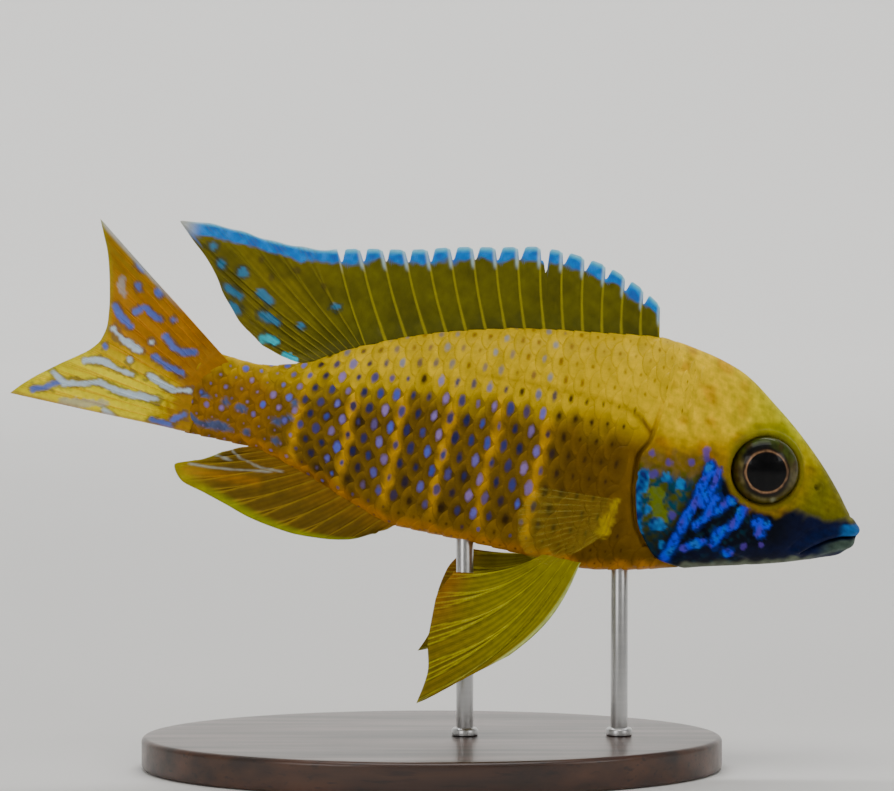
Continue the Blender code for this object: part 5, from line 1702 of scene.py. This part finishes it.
def mottle_group() -> bpy.types.NodeTree:
    """Node group that flecks a colour with fine noise and gives a matching height.

    Colour out is the colour in, multiplied by one plus the amount times the noise's swing round its middle.
    """
    name = "pigment_mottle"
    if name in bpy.data.node_groups:
        return bpy.data.node_groups[name]
    tree = bpy.data.node_groups.new(name, "ShaderNodeTree")
    tree.interface.new_socket("Color", in_out="INPUT", socket_type="NodeSocketColor")
    tree.interface.new_socket("Scale", in_out="INPUT", socket_type="NodeSocketFloat")
    tree.interface.new_socket("Amount", in_out="INPUT", socket_type="NodeSocketFloat")
    tree.interface.new_socket("Color", in_out="OUTPUT", socket_type="NodeSocketColor")
    tree.interface.new_socket("Height", in_out="OUTPUT", socket_type="NodeSocketFloat")
    kit = Nodes(tree)
    source, sink = kit.add("NodeGroupInput"), kit.add("NodeGroupOutput")
    noise = kit.add("ShaderNodeTexNoise")
    noise.inputs["Detail"].default_value = 4.0
    noise.inputs["Roughness"].default_value = 0.62
    kit.link(kit.add("ShaderNodeTexCoord").outputs["Object"], noise.inputs["Vector"])
    kit.link(source.outputs["Scale"], noise.inputs["Scale"])
    swing = kit.math("SUBTRACT", noise.outputs["Fac"], 0.5)
    gain = kit.math("MULTIPLY_ADD", swing, source.outputs["Amount"], 1.0)
    bright = kit.add("ShaderNodeVectorMath", operation="SCALE")
    kit.link(source.outputs["Color"], bright.inputs[0])
    kit.link(gain, bright.inputs["Scale"])
    kit.link(bright.outputs["Vector"], sink.inputs["Color"])
    kit.link(noise.outputs["Fac"], sink.inputs["Height"])
    return tree


@dataclass(frozen=True)
class Finish:
    """Constant numbers of one finish, set on the shader's own sockets."""

    name: str
    roughness: float
    metallic: float = 0.0
    coat: float = 0.0
    coat_roughness: float = 0.1
    specular: float = 0.5
    index: float = 1.5

    def start(self) -> tuple[bpy.types.Material, Nodes, bpy.types.Node]:
        """New material with its shader set."""
        material = bpy.data.materials.new(self.name)
        material.use_nodes = True
        shader = material.node_tree.nodes["Principled BSDF"]
        values = {"Roughness": self.roughness, "Metallic": self.metallic, "Coat Weight": self.coat,
                  "Coat Roughness": self.coat_roughness, "Specular IOR Level": self.specular,
                  "IOR": self.index}
        for key, value in values.items():
            shader.inputs[key].default_value = value
        return material, Nodes(material.node_tree), shader

    def mottled(self, kit: Nodes, shader: bpy.types.Node, colour: bpy.types.NodeSocket, scale: float,
                amount: float) -> bpy.types.NodeSocket:
        """Lead a colour through the mottle group to the shader, and return the group's height.

        Args:
            kit: the material's node tree.
            shader: the material's shader.
            colour: colour to vary.
            scale: fineness of the flecks.
            amount: strength of the flecks.

        Returns:
            Height of the flecks, for a bump.
        """
        node = kit.add("ShaderNodeGroup")
        node.node_tree = mottle_group()
        node.inputs["Scale"].default_value = scale
        node.inputs["Amount"].default_value = amount
        kit.link(colour, node.inputs["Color"])
        kit.link(node.outputs["Color"], shader.inputs["Base Color"])
        return node.outputs["Height"]


def stored(kit: Nodes, name: str, output: str = "Color") -> bpy.types.NodeSocket:
    """Output of a stored attribute."""
    return kit.add("ShaderNodeAttribute", attribute_name=name).outputs[output]


def map_axes(kit: Nodes, name: str) -> tuple[bpy.types.NodeSocket, bpy.types.NodeSocket]:
    """Both axes of a stored map."""
    split = kit.add("ShaderNodeSeparateXYZ")
    kit.link(kit.add("ShaderNodeUVMap", uv_map=name).outputs["UV"], split.inputs[0])
    return split.outputs["X"], split.outputs["Y"]


def stretched(kit: Nodes, scales: Place) -> bpy.types.NodeSocket:
    """Object coordinates stretched along each axis."""
    stretch = kit.add("ShaderNodeMapping")
    stretch.inputs["Scale"].default_value = scales
    kit.link(kit.add("ShaderNodeTexCoord").outputs["Object"], stretch.inputs["Vector"])
    return stretch.outputs["Vector"]


def opaque(red: int, green: int, blue: int) -> tuple[float, ...]:
    """Linear colour of a display colour, with full cover."""
    return (*(float(part) for part in tint(red, green, blue)), 1.0)


def skin_material() -> bpy.types.Material:
    """Moist skin: stored colours with fine mottling, and a shallow grained bump."""
    finish = Finish("moist_skin", roughness=0.5, coat=0.04, coat_roughness=0.2, specular=0.3, index=1.2)
    material, kit, shader = finish.start()
    mottle = finish.mottled(kit, shader, stored(kit, "tint"), 1500.0, 0.5)
    kit.link(kit.span(mottle, 0.3, 0.7, 0.6, 0.44), shader.inputs["Roughness"])
    grain = kit.math("ADD", kit.noise(2600.0), kit.math("MULTIPLY", mottle, 1.6))
    kit.link(kit.bump(grain, 0.00005, 0.5), shader.inputs["Normal"])
    return material


def scale_material() -> bpy.types.Material:
    """Scales: stored colours, a soft fleck at each middle, fine ribs towards the free edge."""
    finish = Finish("scale_plates", roughness=0.45, coat=0.04, coat_roughness=0.16, specular=0.3, index=1.2)
    material, kit, shader = finish.start()
    along_plate, across = map_axes(kit, "plate")
    shift = kit.math("SUBTRACT", along_plate, 0.34)
    squared = kit.math("ADD", kit.math("MULTIPLY", kit.math("MULTIPLY", shift, shift), 1.2),
                       kit.math("MULTIPLY", kit.math("MULTIPLY", across, across), 0.62))
    distance = kit.math("SQRT", squared)
    ragged = kit.math("MULTIPLY_ADD", kit.noise(1500.0), 0.22, distance)
    size = stored(kit, "spot_size", "Fac")
    inside = kit.math("SUBTRACT", kit.math("ADD", size, 0.11), ragged)
    mask = kit.span(inside, -0.08, 0.1, 0.0, 0.94)
    colour = kit.mix(mask, stored(kit, "tint"), stored(kit, "spot"))
    mottle = finish.mottled(kit, shader, colour, 1100.0, 0.55)
    ribs = kit.math("MULTIPLY", kit.math("SINE", kit.math("MULTIPLY", across, 46.0)), 0.5)
    ribs = kit.math("MULTIPLY", ribs, kit.span(along_plate, 0.1, 0.9, 0.0, 1.0))
    height = kit.math("ADD", ribs, mottle)
    kit.link(kit.bump(height, 0.00004, 0.55), shader.inputs["Normal"])
    kit.link(kit.span(mottle, 0.3, 0.7, 0.54, 0.38), shader.inputs["Roughness"])
    return material


def fin_material(name: str, clear: bool) -> bpy.types.Material:
    """Fin membrane: stored colours, jointed rays in the bump, and a see-through web where it is clear."""
    finish = Finish(name, roughness=0.42, coat=0.05, coat_roughness=0.15, specular=0.3, index=1.25)
    material, kit, shader = finish.start()
    mottle = finish.mottled(kit, shader, stored(kit, "tint"), 1300.0, 0.45)
    ray = stored(kit, "ray", "Fac")
    across, outward = map_axes(kit, "fan")
    joints = kit.math("SINE", kit.math("MULTIPLY", outward, 260.0))
    fibres = kit.math("SINE", kit.math("MULTIPLY", across, 88.0))
    relief = kit.math("ADD", kit.math("MULTIPLY", joints, kit.math("MULTIPLY", ray, 0.6)),
                      kit.math("MULTIPLY", fibres, 0.35))
    relief = kit.math("ADD", relief, mottle)
    kit.link(kit.bump(relief, 0.00004, 0.6), shader.inputs["Normal"])
    if clear:
        depth = stored(kit, "depth", "Fac")
        ragged = kit.math("ADD", depth, kit.math("MULTIPLY", kit.noise(420.0), 0.16))
        near_root = kit.math("MULTIPLY", kit.span(ragged, 0.08, 0.18, 0.75, 0.0),
                             kit.span(across, 0.0, 6.0, 0.3, 1.0))
        ray_strength = kit.math("MULTIPLY", kit.span(ray, 0.2, 0.9, 0.07, 0.3),
                                kit.span(depth, 0.1, 0.9, 1.0, 0.6))
        solid = kit.math("MAXIMUM", ray_strength, near_root)
        kit.link(solid, shader.inputs["Alpha"])
    return material


def eye_material() -> bpy.types.Material:
    """Wet eye: stored rings of colour with a fibrous bump, under a smooth clear coat."""
    finish = Finish("wet_eye", roughness=0.34, coat=0.2, coat_roughness=0.03, specular=0.2, index=1.25)
    material, kit, shader = finish.start()
    mottle = finish.mottled(kit, shader, stored(kit, "tint"), 2200.0, 0.7)
    kit.link(kit.bump(mottle, 0.00004, 0.35), shader.inputs["Normal"])
    return material


def wood_material() -> bpy.types.Material:
    """Dark stained hardwood: long wavy grain with fine pores under a satin lacquer."""
    finish = Finish("stained_hardwood", roughness=0.38, coat=0.4, coat_roughness=0.2)
    material, kit, shader = finish.start()
    fibre = stretched(kit, (14.0, 170.0, 170.0))
    grain = kit.noise(1.6, 6.0, fibre)
    pores = kit.noise(9.0, 2.0, fibre)
    colour = kit.mix(kit.span(grain, 0.32, 0.68, 0.0, 1.0), opaque(38, 22, 14), opaque(84, 50, 30))
    colour = kit.mix(kit.span(pores, 0.6, 0.72, 0.0, 0.6), colour, opaque(20, 12, 8))
    kit.link(colour, shader.inputs["Base Color"])
    kit.link(kit.span(grain, 0.3, 0.7, 0.44, 0.32), shader.inputs["Roughness"])
    kit.link(kit.bump(pores, 0.00006, 0.35), shader.inputs["Normal"])
    return material


def steel_material() -> bpy.types.Material:
    """Brushed steel bar: fine rings round the bar."""
    finish = Finish("brushed_bar", roughness=0.28, metallic=1.0)
    material, kit, shader = finish.start()
    rings = kit.noise(1.0, 3.0, stretched(kit, (30.0, 30.0, 1500.0)))
    colour = kit.mix(rings, opaque(182, 182, 184), opaque(204, 204, 202))
    kit.link(colour, shader.inputs["Base Color"])
    kit.link(kit.span(rings, 0.2, 0.8, 0.26, 0.34), shader.inputs["Roughness"])
    kit.link(kit.bump(rings, 0.00001, 0.2), shader.inputs["Normal"])
    return material


def paper_material() -> bpy.types.Material:
    """Pale matt backdrop."""
    finish = Finish("backdrop_paper", roughness=0.9)
    material, kit, shader = finish.start()
    colour = kit.mix(kit.noise(3.0), opaque(226, 225, 222), opaque(232, 231, 228))
    kit.link(colour, shader.inputs["Base Color"])
    return material


@dataclass
class Studio:
    """Pale round bowl, soft lights and the camera."""

    floor_radius: float = 1.5
    sweep_radius: float = 0.9
    wall_height: float = 2.6
    spokes: int = 96
    camera_distance: float = 0.56
    frame_width: float = 0.135
    elevation: float = math.radians(3.0)
    sensor: float = 36.0
    surround: float = 0.26
    target: Place = (0.0023, 0.0, 0.0566)

    def build_bowl(self, material: bpy.types.Material) -> None:
        """Floor, quarter round and wall as one profile turned about the upright axis."""
        bend = self.sweep_radius
        turn = np.linspace(0.0, math.pi / 2, 32)
        reach = np.concatenate(([0.02, 0.5], self.floor_radius + bend * np.sin(turn),
                                [self.floor_radius + bend]))
        level = np.concatenate(([0.0, 0.0], bend - bend * np.cos(turn), [self.wall_height]))
        spin = full_turn(self.spokes)
        points = np.stack((reach[:, None] * np.cos(spin), reach[:, None] * np.sin(spin),
                           level[:, None] + 0.0 * spin), -1).reshape(-1, 3)
        quads = grid_faces(len(reach), self.spokes, closed=True)[:, ::-1]
        around = np.arange(self.spokes)
        middle = np.stack((np.full(self.spokes, len(points)), around, (around + 1) % self.spokes), 1)
        mesh = make_mesh("backdrop", np.concatenate((points, np.zeros((1, 3)))), quads, middle)
        add_piece("backdrop", mesh, material, None)

    def build_camera(self) -> None:
        """Long lens square to the fish's side, a little above its middle."""
        data = bpy.data.cameras.new("camera")
        camera = link_object("camera", data)
        back = Vector((0.0, -math.cos(self.elevation), math.sin(self.elevation)))
        self.aim(camera, Vector(self.target) + back * self.camera_distance, self.target)
        data.sensor_width = self.sensor
        data.lens = self.sensor * self.camera_distance / self.frame_width
        data.clip_start = 0.01
        bpy.context.scene.camera = camera

    def aim(self, thing: bpy.types.Object, place: Place | Vector, target: Place) -> None:
        """Put a camera or light at a place, looking at a target."""
        thing.location = place
        thing.rotation_euler = (Vector(target) - Vector(place)).to_track_quat("-Z", "Y").to_euler()

    def add_light(self, name: str, place: Place, target: Place, size: tuple[float, float], power: float,
                  colour: Place) -> None:
        """Rectangular soft light aimed at a point."""
        data = bpy.data.lights.new(name, "AREA")
        data.shape = "RECTANGLE"
        data.size, data.size_y = size
        data.energy = power
        data.color = colour
        self.aim(link_object(name, data), place, target)

    def build_lights(self) -> None:
        """Lights from above, from the camera's side, from the head's side and on the wall, and a surround."""
        middle = (0.0, 0.0, 0.055)
        self.add_light("top_light", (0.02, -0.14, 0.62), middle, (0.45, 0.3), 1.5, (1.0, 0.98, 0.95))
        self.add_light("front_light", (-0.5, -0.8, 0.42), middle, (0.35, 0.35), 1.35, (1.0, 0.99, 0.98))
        self.add_light("head_light", (0.6, -0.5, 0.4), middle, (0.25, 0.25), 0.7, (1.0, 0.99, 0.97))
        self.add_light("wall_light", (0.0, 0.9, 1.9), (0.0, 2.4, 0.2), (2.0, 0.4), 44.0, (1.0, 1.0, 1.0))
        world = bpy.data.worlds.new("surround")
        world.use_nodes = True
        surround = world.node_tree.nodes["Background"]
        surround.inputs["Color"].default_value = (0.9, 0.93, 1.0, 1.0)
        surround.inputs["Strength"].default_value = self.surround
        bpy.context.scene.world = world


def main() -> None:
    """Build the fish, its stand and the studio in order."""
    logging.basicConfig(level=logging.INFO, format="%(name)s %(message)s")
    form = FishForm()
    marks = Markings()
    scales = scale_material()
    membrane = fin_material("fin_membrane", clear=False)
    clear = fin_material("clear_membrane", clear=True)
    eyes = eye_material()
    steel = steel_material()

    FishSkin(form, marks).build(skin_material())
    coat = ScaleCoat(form, marks)
    for side in Side:
        coat.build(side, scales)
        Eye(side).build(form, eyes)
        PelvicFin(side).build(form, membrane)
        PectoralFin(side).build(form, clear)
    DorsalFin().build(form, membrane)
    CaudalFin().build(form, membrane)
    AnalFin().build(form, membrane)

    stand = DisplayStand()
    stand.build_base(wood_material())
    for node in ("stand_rod_front", "stand_rod_back"):
        stand.build_rod(node, steel)

    studio = Studio()
    studio.build_bowl(paper_material())
    studio.build_camera()
    studio.build_lights()


if __name__ == "__main__":
    main()
